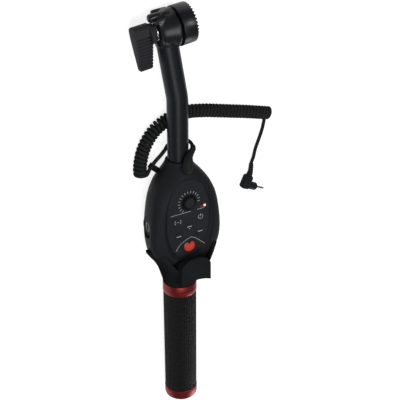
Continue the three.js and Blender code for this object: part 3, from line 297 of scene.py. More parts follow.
boot_route = [(1.1, 34.3, 12.1), (1.1, 36.6, 14.1), (1.2, 39.5, 15.2), (1.7, 42.6, 15),
              (3, 46.2, 13.5), (7, 49.2, 10.2), (11.1, 50.6, 6.8), (12.4, 51.8, 3.2)]
boot_radii = [4.9, 5.1, 5.15, 5.1, 5, 4.9, 4.75, 4.6, 4.45, 4.2, 3.95, 3.7, 3.5, 3.15,
              3.3, 2.75, 3.1, 2.6, 2.9, 2.45, 2.7, 2.3, 2.5, 2.15, 2]
boot = soft_tube("cable_boot_cover", boot_route, boot_radii, 145, 5)
dressed(boot, rubber, "bar_body", "rubber", "cable_boot")


# Plug: a right-angled stereo jack. A short rubber boot enters a moulded body, a round barrel
# leaves its side, and a turned steel pin with two insulating bands stands in the barrel.
def closed(piece):
    """Open rims are filled, points that meet are merged, and the faces turned outwards."""
    alone(piece)
    bpy.ops.object.mode_set(mode="EDIT")
    bpy.ops.mesh.select_all(action="SELECT")
    bpy.ops.mesh.remove_doubles(threshold=1e-6)
    bpy.ops.mesh.fill_holes(sides=0)
    bpy.ops.mesh.select_all(action="SELECT")
    bpy.ops.mesh.normals_make_consistent(inside=False)
    bpy.ops.object.mode_set(mode="OBJECT")
    return piece


def turned(name, profile, sides):
    """A round piece raised ring by ring along Z from (radius, height) pairs in millimetres."""
    radius, height = profile[0]
    bpy.ops.mesh.primitive_circle_add(vertices=sides, radius=radius / 1000)
    piece = bpy.context.object
    piece.name = name
    bpy.context.tool_settings.mesh_select_mode = (True, False, False)
    bpy.ops.object.mode_set(mode="EDIT")
    bpy.ops.mesh.select_all(action="SELECT")
    bpy.ops.transform.translate(value=(0, 0, height / 1000))
    for next_radius, next_height in profile[1:]:
        rise = (0, 0, (next_height - height) / 1000)
        bpy.ops.mesh.extrude_region_move(TRANSFORM_OT_translate={"value": rise})
        factor = next_radius / radius
        bpy.ops.transform.resize(value=(factor, factor, 1))
        radius, height = next_radius, next_height
    bpy.ops.object.mode_set(mode="OBJECT")
    return closed(piece)


def rounded(piece, width, segments=3, angle=30):
    """Bevels every edge sharper than the angle, and smooths the rest."""
    alone(piece)
    bevel = piece.modifiers.new("edge", "BEVEL")
    bevel.width = width / 1000
    bevel.segments = segments
    bevel.limit_method = "ANGLE"
    bevel.angle_limit = math.radians(angle)
    bpy.ops.object.modifier_apply(modifier="edge")
    return smoothed(piece, angle)


def placed(piece, matrix):
    """Puts a piece that was made at the origin in its place, and its place in its mesh."""
    alone(piece)
    piece.matrix_world = matrix @ piece.matrix_world
    bpy.ops.object.transform_apply(location=True, rotation=True, scale=True)
    return piece


def lathed(name, profile, sides, matrix, angle, *dress):
    """A turned piece in its place, smoothed up to the angle and dressed."""
    return dressed(smoothed(placed(turned(name, profile, sides), matrix), angle), *dress)


shell_plastic = grained("moulded_shell", "1b1c1e", "252629", 0.5, 0.12, 0.35, 0.012,
                        Specular_IOR_Level=0.05)
nickel = grained("nickelled_steel", "8f8f90", "b9b9b8", 0.24, 0.1, 0.3, 0.004, metallic=1.0)
plug_route = [(87.6, 7.6, plug_z), (87.3, 2.6, plug_z), (86.5, -2.2, plug_z), (85.5, -4.6, plug_z)]
plug_radii = [1.9, 2.3, 2.0, 2.4, 2.1, 2.5, 2.2, 2.6, 2.3, 2.7, 2.6, 2.9, 3.0, 3.0]
plug_boot = soft_tube("plug_boot_cover", plug_route, plug_radii, 60, 4)
dressed(plug_boot, rubber, "bar_body", "rubber", "plug_boot")
plug_along = Vector((-0.42, -0.907, 0)).normalized()
plug_side = Vector((0, 0, 1)).cross(plug_along)
plug_frame = Matrix((plug_side, plug_along, -Vector((0, 0, 1)))).transposed().to_4x4()
plug_place = Matrix.Translation(at(85.5, -4.5, plug_z)) @ plug_frame
to_side = Matrix.Rotation(math.pi / 2, 4, "Y")
plug_size = (0.009, 0.0137, 0.008)
plug_round = 0.0024
barrel_along = 0.0096
pin_foot = 0.0127
bpy.ops.mesh.primitive_cube_add(size=1)
plug_body = bpy.context.object
plug_body.name = "plug_body_cover"
bpy.ops.object.mode_set(mode="EDIT")
bpy.ops.mesh.select_all(action="SELECT")
bpy.ops.transform.resize(value=plug_size)
bpy.ops.transform.translate(value=(0, plug_size[1] / 2, 0))
bpy.ops.mesh.bevel(offset=plug_round, segments=5, affect="EDGES")
bpy.ops.object.mode_set(mode="OBJECT")
barrel = turned("barrel", [(3.8, 0), (3.8, 11.6), (3.6, 12.1), (3.1, 12.4), (1.8, 12.4)], 32)
placed(barrel, Matrix.Translation((0, barrel_along, 0)) @ to_side)


def combine(piece, tool, operation="UNION"):
    """Joins a tool to a piece, or cuts it out, and clears the tool away."""
    alone(piece)
    work = piece.modifiers.new("combine", "BOOLEAN")
    work.operation = operation
    work.solver = "EXACT"
    work.object = tool
    bpy.ops.object.modifier_apply(modifier="combine")
    bpy.data.objects.remove(tool)
    return piece


combine(plug_body, barrel)
rounded(plug_body, 0.35)
placed(plug_body, plug_place)
dressed(plug_body, shell_plastic, "bar_body", "shell_plastic", "plug_body")
pin = lathed("plug_pin_cover", [
    (1.25, 0), (1.25, 4.6), (1.12, 4.65), (1.12, 5.1), (1.25, 5.15), (1.25, 6.8), (1.12, 6.85),
    (1.12, 7.3), (1.25, 7.35), (1.25, 8.2), (0.72, 9.1), (1.1, 9.7), (0.85, 10.2), (0.2, 10.4)],
    32, plug_place @ Matrix.Translation((pin_foot, barrel_along, 0)) @ to_side, 35,
    nickel, "bar_body", "steel", "plug_pin")


# Bar tube: one length of drawn aluminium tube, 18.5 mm across, bent once towards the clamp and
# painted satin black. It runs from the grip's end up through the head and into the clamp's sleeve.
painted = grained("black_paint", "141518", "1d1f23", 0.36, 0.08, 0.3, 0.006,
                  Specular_IOR_Level=0.14)
tube_radius = 9.25
bend_y = 97
bend_radius = 50
leg = Vector((-8.2, 59, -4.5))
leg_along = leg.normalized()
up_bar = Vector((0, 1, 0))
clamp_centre = leg + up_bar * bend_y
bar_foot = -212
boss_depth = 7.6
bend_steps = 12
bend_angle = up_bar.angle(leg_along)
bend_tangent = bend_radius * math.tan(bend_angle / 2)
bend_inward = (leg_along - up_bar * math.cos(bend_angle)).normalized()
bend_middle = Vector((0, bend_y - bend_tangent, 0)) + bend_inward * bend_radius
tube_stops = [up_bar * bar_foot]
for k in range(bend_steps + 1):
    angle = bend_angle * k / bend_steps
    tube_stops.append(bend_middle - bend_inward * (bend_radius * math.cos(angle))
                      + up_bar * (bend_radius * math.sin(angle)))
tube_stops.append(clamp_centre - leg_along * boss_depth)
tube = tube_mesh("bar_tube_cover", tube_stops, tube_radius, 15)
dressed(tube, painted, "bar_body", "black_paint", "bar_tube")


# Control head: two moulded shells that close round the tube as an egg, and a collar at its crown.
# The skin is lofted through stations, because its section turns from round to nearly square.
head_half = 34.9
head_front = 22
head_rear = 23.2
crown_y = 39
foot_y = -68
widest_z = 9.5
parting_z = -12.05
head_stations = [0, 0.05, 0.13, 0.21, 0.3, 0.42, 0.58, 0.72, 0.83, 0.91, 0.96, 1]
head_widths = [0.4, 0.54, 0.73, 0.91, 0.985, 1, 0.955, 0.87, 0.725, 0.555, 0.42, 0.34]
head_fronts = [0.64, 0.8, 0.9, 0.945, 0.98, 1, 1, 0.975, 0.895, 0.76, 0.64, 0.536]
head_rears = [0.58, 0.63, 0.7, 0.77, 0.88, 0.98, 1, 0.97, 0.88, 0.72, 0.6, 0.509]


def smooth_table(stations, values, place):
    """A smooth curve through a table, read at a place along it."""
    x, v = np.array(stations, float), np.array(values, float)
    slope = np.empty(len(x))
    slope[1:-1] = (v[2:] - v[:-2]) / (x[2:] - x[:-2])
    slope[0] = (v[1] - v[0]) / (x[1] - x[0])
    slope[-1] = (v[-1] - v[-2]) / (x[-1] - x[-2])
    k = int(np.clip(np.searchsorted(x, place) - 1, 0, len(x) - 2))
    step = x[k + 1] - x[k]
    t = (place - x[k]) / step
    return float(v[k] * (1 + 2 * t) * (1 - t) ** 2 + slope[k] * step * t * (1 - t) ** 2
                 + v[k + 1] * t * t * (3 - 2 * t) - slope[k + 1] * step * t * t * (1 - t))


def signed_power(value, power):
    return math.copysign(abs(value) ** power, value)


def oval_ring(half_x, front, rear, middle, y, power_front, power_rear, count):
    """A ring across the bar, rounder or squarer in front and behind by its two powers."""
    ring = []
    for k in range(count):
        angle = math.tau * k / count
        c, s = math.cos(angle), math.sin(angle)
        power = 2 / (power_front if s > 0 else power_rear)
        depth = front - middle if s > 0 else rear + middle
        ring.append((half_x * signed_power(c, power), y, middle + depth * signed_power(s, power)))
    return ring


def lofted(name, rings):
    """A closed skin over rings of places in millimetres."""
    count = len(rings[0])
    faces = [[r * count + k, r * count + (k + 1) % count,
              (r + 1) * count + (k + 1) % count, (r + 1) * count + k]
             for r in range(len(rings) - 1) for k in range(count)]
    mesh = bpy.data.meshes.new(name)
    mesh.from_pydata([at(*p) for ring in rings for p in ring], [], faces)
    return closed(linked(name, mesh))


def head_skin(name, grow, steps=60, count=96):
    """The egg's skin, grown by that much. Its rings crowd towards both ends."""
    narrow, spread = 0.34, 0.66
    rings = []
    for k in range(steps + 1):
        even = k / steps
        share = even - math.sin(math.tau * even) / math.tau / 3
        width = smooth_table(head_stations, head_widths, share)
        fullness = min(max((width - narrow) / spread, 0), 1)
        rings.append(oval_ring(
            head_half * width + grow,
            head_front * smooth_table(head_stations, head_fronts, share) + grow,
            head_rear * smooth_table(head_stations, head_rears, share) + grow,
            widest_z * fullness, foot_y + (crown_y - foot_y) * share + grow * (2 * share - 1),
            2 + fullness, 2 + fullness * 0.35, count))
    return lofted(name, rings)


def squared_oval(half_x, half_y, squareness, count):
    """An oval across the bar's plane, round at a squareness of 2 and boxy above it."""
    power = 2 / squareness
    return [(half_x * signed_power(math.cos(math.tau * k / count), power),
             half_y * signed_power(math.sin(math.tau * k / count), power)) for k in range(count)]


lay_down = Matrix.Rotation(-math.pi / 2, 4, "X")
bar_place = Matrix.Translation(bar_zero)
bar_frame = bar_place @ lay_down
edge_on = Matrix.Rotation(-math.pi / 2, 4, "Y")


def slab(name, outline, low, high):
    """A flat outline in millimetres, extruded along Z."""
    mesh = bpy.data.meshes.new(name)
    mesh.from_pydata([Vector((x, y, low)) / 1000 for x, y in outline], [], [range(len(outline))])
    piece = linked(name, mesh)
    alone(piece)
    bpy.ops.object.mode_set(mode="EDIT")
    bpy.ops.mesh.select_all(action="SELECT")
    bpy.ops.mesh.extrude_region_move(
        TRANSFORM_OT_translate={"value": (0, 0, (high - low) / 1000)})
    bpy.ops.object.mode_set(mode="OBJECT")
    return closed(piece)


far = 60
far_below = -90


def layer(low, high):
    """A block wider and longer than the head between two heights, for cutting with."""
    outline = [(-far, far_below), (far, far_below), (far, far), (-far, far)]
    return placed(slab("block", outline, low, high), bar_place)


panel_y = -11
panel_half_x = 21.5
panel_half_y = 39


def panel_tool(levels):
    """The panel's oval, carried through (growth, height) pairs."""
    return lofted("tool", [
        [(x, panel_y + y, z) for x, y in
         squared_oval(panel_half_x + grow, panel_half_y + grow, 2.2, 96)]
        for grow, z in levels])


def cut(piece, tool):
    return combine(piece, tool, "DIFFERENCE")


def bored(piece, radius, low, high, sides, matrix):
    """Cuts a round hole along the matrix's own Z."""
    return cut(piece, placed(turned("tool", [(radius, low), (radius, high)], sides), matrix))


collar_radius = 11.75
seam_half = 0.15
front_shell = combine(head_skin("front_shell_cover", 0), placed(turned("collar", [
    (collar_radius, 34), (collar_radius, 39.9), (collar_radius - 0.3, 40.7),
    (collar_radius - 0.9, 41.2), (10, 41.2), (9.8, 40.9), (9.8, 40)], 96), bar_frame))
alone(front_shell)
bpy.ops.object.duplicate()
rear_shell = bpy.context.object
rear_shell.name = "rear_shell_cover"
cut(front_shell, layer(-far, parting_z + seam_half))
cut(rear_shell, layer(parting_z - seam_half, far))
cut(rear_shell, layer(-far, table_z))
cut(front_shell, panel_tool([
    (-3.2, -4), (-3.2, 13), (-2.4, 13), (-2.4, 16.1), (0.18, 16.1), (0.18, 17.7),
    (0.6, 18), (1.4, 18.5), (2.4, 19.3), (3.3, 20.3), (4, 21.5), (4.4, 23), (4.5, 36)]))
disc_place = Matrix.Translation(at(0.6, -17.5, 1.8)) @ edge_on
disc_floor = 31.2
bored(front_shell, 9.7, disc_floor, far, 64, disc_place)
for shell, node in ((front_shell, "front_shell"), (rear_shell, "rear_shell")):
    rounded(shell, 0.6, 3, 32)
    dressed(shell, shell_plastic, "bar_body", "shell_plastic", node)


# Flank disc: a round cover let into the head's left side, moulded with a raised rim round a
# shallow dish. An oval ring is printed in the dish.
lathed("flank_disc_cover", [
    (8.3, disc_floor + 0.1), (8.3, 32.7), (8.1, 33), (7.7, 33.15), (7.3, 33.1), (7, 32.9),
    (0.2, 32.8)], 64, disc_place, 40, shell_plastic, "bar_body", "shell_plastic", "flank_disc")
ink = grained("printed_ink", "8c8d8f", "b4b5b6", 0.55, 0.1, 0.2, 0.004, Specular_IOR_Level=0.1)
ring_stretch = Matrix.Diagonal((1, 1.8, 1, 1))
disc_print = turned("disc_print", [
    (2, 32.75), (3.3, 32.75), (3.3, 32.86), (2, 32.86), (2, 32.75)], 48)
placed(disc_print, disc_place @ ring_stretch)
dressed(disc_print, ink, "bar_body", "shell_plastic")


# Control panel: a flat oval moulding clipped into the head, drilled for the keys, dial and lamp.
# A scale of ticks round the dial, two rules and an arch are screen printed on it in pale grey.
panel_plastic = grained("panel_moulding", "1f2023", "2a2b2e", 0.5, 0.14, 0.3, 0.008,
                        Specular_IOR_Level=0.06)
key_places = {"power": (12.04, -11), "focus": (-10.75, -11), "mode": (0.86, -18.41),
              "auto": (11.61, -25.82), "photo": (-9.89, -25.82)}
dial_place = (0.3225, 6.16)
rec_place = (0.645, -38.69)
lamp_place = (16.23, -0.86)
key_radius = 3.4
key_gap = 0.14
panel = panel_tool([(0, 16.4), (0, 17.5), (-0.12, 17.77), (-0.35, 17.94), (-0.7, 18)])
panel.name = "control_panel_cover"


def bezier(points, count):
    """Places on a cubic Bezier curve, without the last."""
    p = [Vector(q) for q in points]
    shares = [k / count for k in range(count)]
    return [tuple(p[0] * (1 - t) ** 3 + p[1] * (3 * t * (1 - t) ** 2)
                  + p[2] * (3 * t * t * (1 - t)) + p[3] * t ** 3) for t in shares]


def bean(grow):
    """The record button's outline: a circle drawn out to two lobes, with a notch between them."""
    half, top, notch = 6 + grow, 5.3 + grow, 2.86 + grow
    lobe, flank, foot = (half * 0.55, top), (half, 0), (0, -top)
    right = (bezier([(0, notch), (half * 0.1, top * 0.9), (half * 0.35, top * 1.05), lobe], 8)
             + bezier([lobe, (half * 0.9, top * 0.9), (half * 1.02, top * 0.4), flank], 8)
             + bezier([flank, (half * 0.95, -top * 0.7), (half * 0.55, -top), foot], 10))
    left = [(-x, y) for x, y in reversed(right[1:])]
    return [(rec_place[0] + x, rec_place[1] + y) for x, y in right + [foot] + left]


hole_low, hole_high = 10, 25
for radius, sides, places in ((key_radius + key_gap, 48, key_places.values()),
                              (1.9, 32, [dial_place]), (1.42, 32, [lamp_place])):
    for x, y in places:
        bored(panel, radius, hole_low, hole_high, sides, Matrix.Translation(at(x, y, 0)))
cut(panel, placed(slab("tool", bean(0.3), hole_low, hole_high), bar_place))
rounded(panel, 0.1, 2, 40)
dressed(panel, panel_plastic, "bar_body", "panel_plastic", "control_panel")

panel_z = 18
ink_depth = 0.1


def stroke(points, width, z):
    """A printed line through the points, in short butted blocks."""
    made = []
    for (x0, y0), (x1, y1) in zip(points, points[1:]):
        length = math.hypot(x1 - x0, y1 - y0) + width * 0.3
        bpy.ops.mesh.primitive_cube_add(size=1)
        bar = bpy.context.object
        bpy.ops.object.mode_set(mode="EDIT")
        bpy.ops.mesh.select_all(action="SELECT")
        bpy.ops.transform.resize(value=(length / 1000, width / 1000, ink_depth / 1000))
        bpy.ops.object.mode_set(mode="OBJECT")
        aim = Matrix.Rotation(math.atan2(y1 - y0, x1 - x0), 4, "Z")
        placed(bar, Matrix.Translation(at((x0 + x1) / 2, (y0 + y1) / 2, z)) @ aim)
        made.append(bar)
    return made


def joined(pieces):
    """Several pieces as one mesh, under the first one's name."""
    alone(pieces[0])
    for piece in pieces:
        piece.select_set(True)
    bpy.ops.object.join()
    return pieces[0]


def print_piece(name, strokes, body, finish=ink):
    """Strokes joined to one printed piece that rides on a body."""
    joined(strokes).name = name
    return dressed(strokes[0], finish, body, "panel_plastic")


tick_count = 15
tick_step = 17
first_tick = 232
tick_low, tick_high = 8.9, 10.7
tick_width, rule_width, arch_width = 0.46, 0.38, 0.42
panel_print = []
for k in range(tick_count):
    angle = math.radians(first_tick - k * tick_step)
    along = Vector((math.cos(angle), math.sin(angle)))
    ends = [tuple(Vector(dial_place) + along * reach) for reach in (tick_low, tick_high)]
    panel_print += stroke(ends, tick_width, panel_z)
panel_print += stroke([(-17.7, -3.4), (2.2, -3.2)], rule_width, panel_z)
panel_print += stroke([(8.6, -3.2), (15.6, -3.1)], rule_width, panel_z)
panel_print += stroke([
    (-13.1, -40.2), (-11.4, -37.5), (-9.2, -35), (-6.7, -33), (-3.8, -31.6), (-0.6, -30.2),
    (2.7, -29.4), (6.4, -31.2), (11, -35.2), (16.2, -40)], arch_width, panel_z)
print_piece("panel_print", panel_print, "bar_body")


# Keys: five small round caps that stand just proud of the panel, each on a stem with a flange
# below the panel. Their signs are printed on them and travel with them.
def arc(centre, radius, start, end, count):
    """Places along a part of a circle, between two angles in degrees."""
    angles = [math.radians(start + (end - start) * k / count) for k in range(count + 1)]
    return [(centre[0] + radius * math.cos(a), centre[1] + radius * math.sin(a)) for a in angles]


key_top = 18.15
sign_width = 0.5
for name, (x, y) in key_places.items():
    lathed(f"{name}_key_cover", [
        (1.7, 14.2), (1.7, 15.3), (4.2, 15.3), (4.2, 16.1), (key_radius, 16.1), (key_radius, 17.95),
        (key_radius - 0.08, 18.06), (key_radius - 0.3, 18.12), (2.2, key_top), (0.1, key_top)],
        48, Matrix.Translation(at(x, y, 0)), 35,
        panel_plastic, f"{name}_body", "panel_plastic", f"{name}_key")
x, y = key_places["power"]
print_piece("power_print", stroke(arc((x, y), 2.3, 125, 415, 14), sign_width, key_top)
            + stroke([(x, y + 2.7), (x, y + 0.3)], sign_width, key_top), "power_body")
x, y = key_places["focus"]
signs = []
for side in (-1, 1):
    signs += stroke([(x + side * 2.1, y + 1.6), (x + side * 2.9, y + 1.6),
                     (x + side * 2.9, y - 1.6), (x + side * 2.1, y - 1.6)], 0.42, key_top)
signs += stroke([(x - 1.1, y), (x - 0.4, y)], sign_width, key_top)
signs += stroke([(x + 0.4, y), (x + 1.1, y)], sign_width, key_top)
print_piece("focus_print", signs, "focus_body")
for name in ("mode", "auto", "photo"):
    x, y = key_places[name]
    signs = stroke([(x - 2.2, y + 0.1), (x + 2.2, y + 0.1)], 0.75, key_top)
    if name == "mode":
        signs += stroke([(x - 0.4, y - 2), (x + 0.4, y - 2)], 0.7, key_top)
    print_piece(f"{name}_print", signs, f"{name}_body")


# Record button: a soft red bean with a crowned top, the only large coloured piece on the panel.
# It is moulded, its red has painted shade at its foot and a painted highlight on its crown,
# and it is pressed down through a hole of its own shape.
# Painted shade: the dark red at the button's foot. Painted highlight: the light red on its crown.
rec_foot_shade, rec_crown_highlight = "560d0c", "c2403a"
rec_foot, rec_edge, rec_crown = 15.9, 18.2, 19.2
red_plastic = grained("red_moulding", rec_foot_shade, rec_crown_highlight, 0.34, 0.12, 0.4, 0.006,
                      Specular_IOR_Level=0.3)
shade = Shade(red_plastic.node_tree)
height = shade.node("SeparateXYZ", None, {0: shade.node("TexCoord", out=3)}, out=2)
# The mix by height paints the shade at the foot and the highlight on the crown.
painted_light_by_height = shade.node("MapRange", {"interpolation_type": "SMOOTHSTEP"}, {
    "Value": height, "From Min": (rec_edge - table_z) / 1000,
    "From Max": (rec_crown - table_z) / 1000})
connect(red_plastic.node_tree.nodes["Principled BSDF"], Base_Color=painted_light_by_height.mix(rec_foot_shade, rec_crown_highlight))
rec = slab("rec_button_cover", bean(-0.1), rec_foot, rec_edge)
alone(rec)
bpy.ops.object.mode_set(mode="EDIT")
mesh = bmesh.from_edit_mesh(rec.data)
bpy.ops.mesh.select_all(action="DESELECT")
bpy.context.tool_settings.mesh_select_mode = (False, False, True)
for face in mesh.faces:
    face.select_set(face.normal.z > 0.9)
bmesh.update_edit_mesh(rec.data)
for shrink, rise in (
        (0.93, 0.3), (0.91, 0.25), (0.88, 0.18), (0.8, 0.14), (0.65, 0.1), (0.45, 0.04)):
    bpy.ops.mesh.extrude_region_move(TRANSFORM_OT_translate={"value": (0, 0, rise / 1000)})
    bpy.ops.transform.resize(
        value=(shrink, shrink, 1), center_override=Vector((*rec_place, 0)) / 1000)
bpy.ops.object.mode_set(mode="OBJECT")
smoothed(placed(rec, bar_place), 50)
dressed(rec, red_plastic, "rec_body", "red_plastic", "rec_button")


# Lamp: a clear pink light guide that stands through the panel's right edge, on a flange under
# it. Three short red bars beside it are printed on the panel.
lamp_finish = grained("lamp_lens", "e8b0a8", "ffe2dc", 0.2, 0.05, 0.5, 0.002)
lamp_shader = lamp_finish.node_tree.nodes["Principled BSDF"]
lamp_shader.inputs["Emission Color"].default_value = (1, 0.72, 0.68, 1)
lamp_shader.inputs["Emission Strength"].default_value = 0.35
lathed("indicator_lamp_cover", [
    (2.1, 12.1), (2.1, 13.4), (1.3, 13.4), (1.3, 18.0), (1.2, 18.25), (0.95, 18.48), (0.55, 18.62),
    (0.1, 18.66)], 32, Matrix.Translation(at(*lamp_place, 0)), 40,
    lamp_finish, "bar_body", "lamp", "indicator_lamp")
red_ink = grained("red_ink", "7a2a28", "9a3835", 0.55, 0.1, 0.2, 0.004, Specular_IOR_Level=0.1)
bar_step = 1.15
bars = []
for k in range(3):
    x = lamp_place[0] - 4.6 + bar_step * k
    bars += stroke([(x, lamp_place[1] - 0.9), (x, lamp_place[1] + 0.1 + 0.5 * k)], 0.55, panel_z)
print_piece("level_print", bars, "bar_body", red_ink)


# Zoom dial: a knurled skirt under a smooth dished cap, both moulded in black. It turns with the
# potentiometer's shaft, a third of a turn each way.
def notched(piece, sides, every, low, beyond, factor):
    """Draws the outer points in the first low of every so many columns in towards the axis."""
    alone(piece)
    bpy.ops.object.mode_set(mode="EDIT")
    bpy.context.tool_settings.mesh_select_mode = (True, False, False)
    mesh = bmesh.from_edit_mesh(piece.data)
    bpy.ops.mesh.select_all(action="DESELECT")
    for vert in mesh.verts:
        angle = math.degrees(math.atan2(vert.co.y, vert.co.x))
        column = round(angle / (360 / sides)) % every
        vert.select_set(column < low and math.hypot(vert.co.x, vert.co.y) * 1000 > beyond)
    bmesh.update_edit_mesh(piece.data)
    bpy.ops.transform.resize(value=(factor, factor, 1), center_override=(0, 0, 0))
    bpy.ops.object.mode_set(mode="OBJECT")
    return piece


dial_frame = Matrix.Translation(at(*dial_place, 0))
dial_sides = 108
dial = turned("dial_knob_cover", [
    (7.3, 18.3), (7.4, 18.45), (7.4, 19.2), (7.2, 19.5), (6.7, 19.7), (5.3, 19.75), (5, 19.6),
    (4.9, 19.4), (0.1, 19.4)], dial_sides)
notched(dial, dial_sides, 6, 3, 6.5, 0.8)
smoothed(placed(dial, dial_frame), 32)
dial_black = grained("dial_skirt", "0e0e0f", "171718", 0.55, 0.1, 0.3, 0.008,
                     Specular_IOR_Level=0.08)
dressed(dial, dial_black, "dial_body", "panel_plastic", "dial_knob")
lathed("dial_cap_cover", [
    (4.6, 19.2), (4.6, 19.9), (4.45, 20.15), (4.1, 20.3), (3.7, 20.25), (2.6, 20.15), (0.1, 20.1)],
    64, dial_frame, 32, panel_plastic, "dial_body", "panel_plastic")


# Cradle: a flared moulding that grips the head's foot between two wings, with a square chin in
# front. It is lofted, then its wings, rim and chin are cut to shape and every edge is eased.
lip_y = -36
end_y = -83
cradle_half = 37.3
cradle_front = 24
cradle_long = lip_y - end_y
cradle_stations = [0, 0.13, 0.3, 0.44, 0.62, 0.82, 1]
cradle_widths = [0.408, 0.46, 0.525, 0.595, 0.73, 0.905, 0.99]
cradle_fronts = [0.633, 0.78, 1, 1.15, 1.22, 1.1, 0.96]
cradle_rears = [0.707, 0.745, 0.8, 0.85, 0.92, 0.985, 1.01]
cradle_boxes = [0, 0.15, 0.25, 0.27, 0.22, 0.1, 0]
chin_half = 14.8
chin_front = 32
chin_top = -44.5
chin_low = -69.8
chin_arch = 8
chin_scoop = 3
neck = 15.2
spare = 12  # how far a cutting tool reaches past the piece
ring_steps = 40
rings = []
for k in range(ring_steps + 1):
    share = k / ring_steps
    rings.append(oval_ring(
        cradle_half * smooth_table(cradle_stations, cradle_widths, share),
        cradle_front * smooth_table(cradle_stations, cradle_fronts, share),
        -table_z * smooth_table(cradle_stations, cradle_rears, share),
        widest_z * share * 0.7, end_y + cradle_long * share,
        2 + 2 * smooth_table(cradle_stations, cradle_boxes, share), 2 + share, 96))
cradle = lofted("cradle_cover", rings)
wide = cradle_half + spare
above_lip = lip_y + spare
left_lapel = [(-wide, lip_y)]
for across_share, drop_share in (
        (0.775, 0.06), (0.7, 0.09), (0.627, 0.125), (0.575, 0.2), (0.534, 0.28)):
    left_lapel.append((-cradle_half * across_share, lip_y - cradle_long * drop_share))
left_lapel.append((-chin_half * 0.94, chin_top - chin_half * 0.86))
right_lapel = [(-x, y) for x, y in reversed(left_lapel)]
lapels = left_lapel + right_lapel + [(wide, above_lip), (-wide, above_lip)]
cut(cradle, placed(slab("tool", lapels, 0, chin_front + spare), bar_place))
across = bar_place @ edge_on
rim_drop = cradle_long * 0.48
tip_z = widest_z * 0.7
under = table_z - spare
rear_rim = [(tip_z, lip_y), (tip_z, above_lip), (under, above_lip),
            (under, lip_y - rim_drop * 1.1), (table_z, lip_y - rim_drop),
            (table_z * 0.4, lip_y - rim_drop * 0.8)]
cut(cradle, placed(slab("tool", rear_rim, -wide, wide), across))
chin_shoulder = (-chin_half, chin_top - chin_arch)
left_arch = [*bezier([(0, chin_top), (-chin_half * 0.5, chin_top),
                      (-chin_half * 0.9, chin_top - chin_arch * 0.35), chin_shoulder], 14),
             chin_shoulder]
right_arch = [(-x, y) for x, y in reversed(left_arch[1:])]
face = [(-neck / 2, end_y), (neck / 2, end_y), (chin_half, chin_low), *right_arch, *left_arch,
        (-chin_half, chin_low)]
chin = placed(slab("chin", face, 0, chin_front + spare), bar_place)
chin_round = 3
side = [(0, end_y), (neck - 0.3, end_y + 0.3), (neck, end_y + 1.6), (neck + 0.9, end_y + 3.6),
        (neck + chin_round, end_y + 2 * chin_round), (chin_front - 0.5, chin_low - 0.5),
        (chin_front, chin_low + 0.4), (chin_front - 0.3, chin_top - chin_round),
        (chin_front - 0.7, chin_top - 1), (chin_front - chin_round, chin_top + 0.3),
        (head_front - 2.4, chin_top - 2 * chin_round), (0, chin_top - 2 * chin_round)]
side_tool = placed(slab("tool", side, -chin_half - spare, chin_half + spare), across)
combine(chin, side_tool, "INTERSECT")
lean = math.atan2(chin_low - end_y - 2 * chin_round, chin_front - neck - chin_round)
scoop_radius = (chin_half ** 2 + chin_scoop ** 2) / (2 * chin_scoop)
scoop_drop = scoop_radius - chin_scoop
scoop = turned("scoop", [(scoop_radius, -chin_front), (scoop_radius, chin_front)], 160)
placed(scoop, Matrix.Translation(at(0, chin_low - scoop_drop * math.cos(lean),
                                    chin_front + scoop_drop * math.sin(lean)))
       @ Matrix.Rotation(-lean, 4, "X"))
cut(chin, scoop)
combine(cradle, chin)
cut(cradle, head_skin("skin", 0.3))
cut(cradle, layer(-far, table_z))
rounded(cradle, 0.7, 3, 28)
cradle_plastic = grained("cradle_moulding", "1a1b1c", "232425", 0.6, 0.12, 0.35, 0.012,
                         Specular_IOR_Level=0.0)
dressed(cradle, cradle_plastic, "bar_body", "shell_plastic", "cradle")


# Grip rings: two turned aluminium rings, anodised dark red, that hold the rubber sleeve between
# them. The lower one closes the bar with a black cap.
red_anodised = grained("red_anodised", "6c1618", "8a292a", 0.42, 0.12, 0.25, 0.004, metallic=0.75)
ring_radius = 15.8
ring_bore = 13.1
piece_gap = 0.3
groove_half = 0.4
upper_top = end_y - piece_gap
upper_low = upper_top - 10.8
middle_y = (upper_top + upper_low) / 2
lathed("upper_ring_cover", [
    (ring_bore, upper_low), (15.3, upper_low), (15.65, upper_low + 0.15),
    (ring_radius, upper_low + 0.5), (ring_radius, middle_y - 0.7), (15.4, middle_y - groove_half),
    (15.4, middle_y + groove_half), (ring_radius, middle_y + 0.7), (ring_radius, upper_top - 0.5),
    (15.65, upper_top - 0.15), (15.3, upper_top), (ring_bore, upper_top), (ring_bore, upper_low)],
    128, bar_frame, 28, red_anodised, "bar_body", "red_anodised", "upper_ring")
grip_length = 111
grip_top = upper_low - piece_gap
grip_low = grip_top - grip_length
lower_top = grip_low - piece_gap
bar_end = lower_top - 10.3
cap_seat = bar_end + 4
lathed("lower_ring_cover", [
    (ring_bore, cap_seat), (ring_bore, bar_end + 0.2), (13.3, bar_end), (13.6, bar_end),
    (14.6, bar_end + 0.35), (15.3, bar_end + 1), (15.65, bar_end + 1.9),
    (ring_radius, bar_end + 3), (ring_radius, lower_top - 2.2), (15.35, lower_top - 1.9),
    (15.35, lower_top - 1.3), (ring_radius, lower_top - 1), (ring_radius, lower_top - 0.4),
    (15.4, lower_top), (ring_bore, lower_top), (ring_bore, cap_seat)],
    128, bar_frame, 28, red_anodised, "bar_body", "red_anodised", "lower_ring")
lathed("end_cap_cover", [
    (7.1, bar_end + 13), (7.1, cap_seat), (12.8, cap_seat), (12.8, bar_end + 0.4),
    (12.5, bar_end), (9.5, bar_end), (9.1, bar_end + 0.4), (8.7, bar_end + 0.4), (8.3, bar_end),
    (0.1, bar_end)], 96, bar_frame, 30, shell_plastic, "bar_body", "shell_plastic", "end_cap")


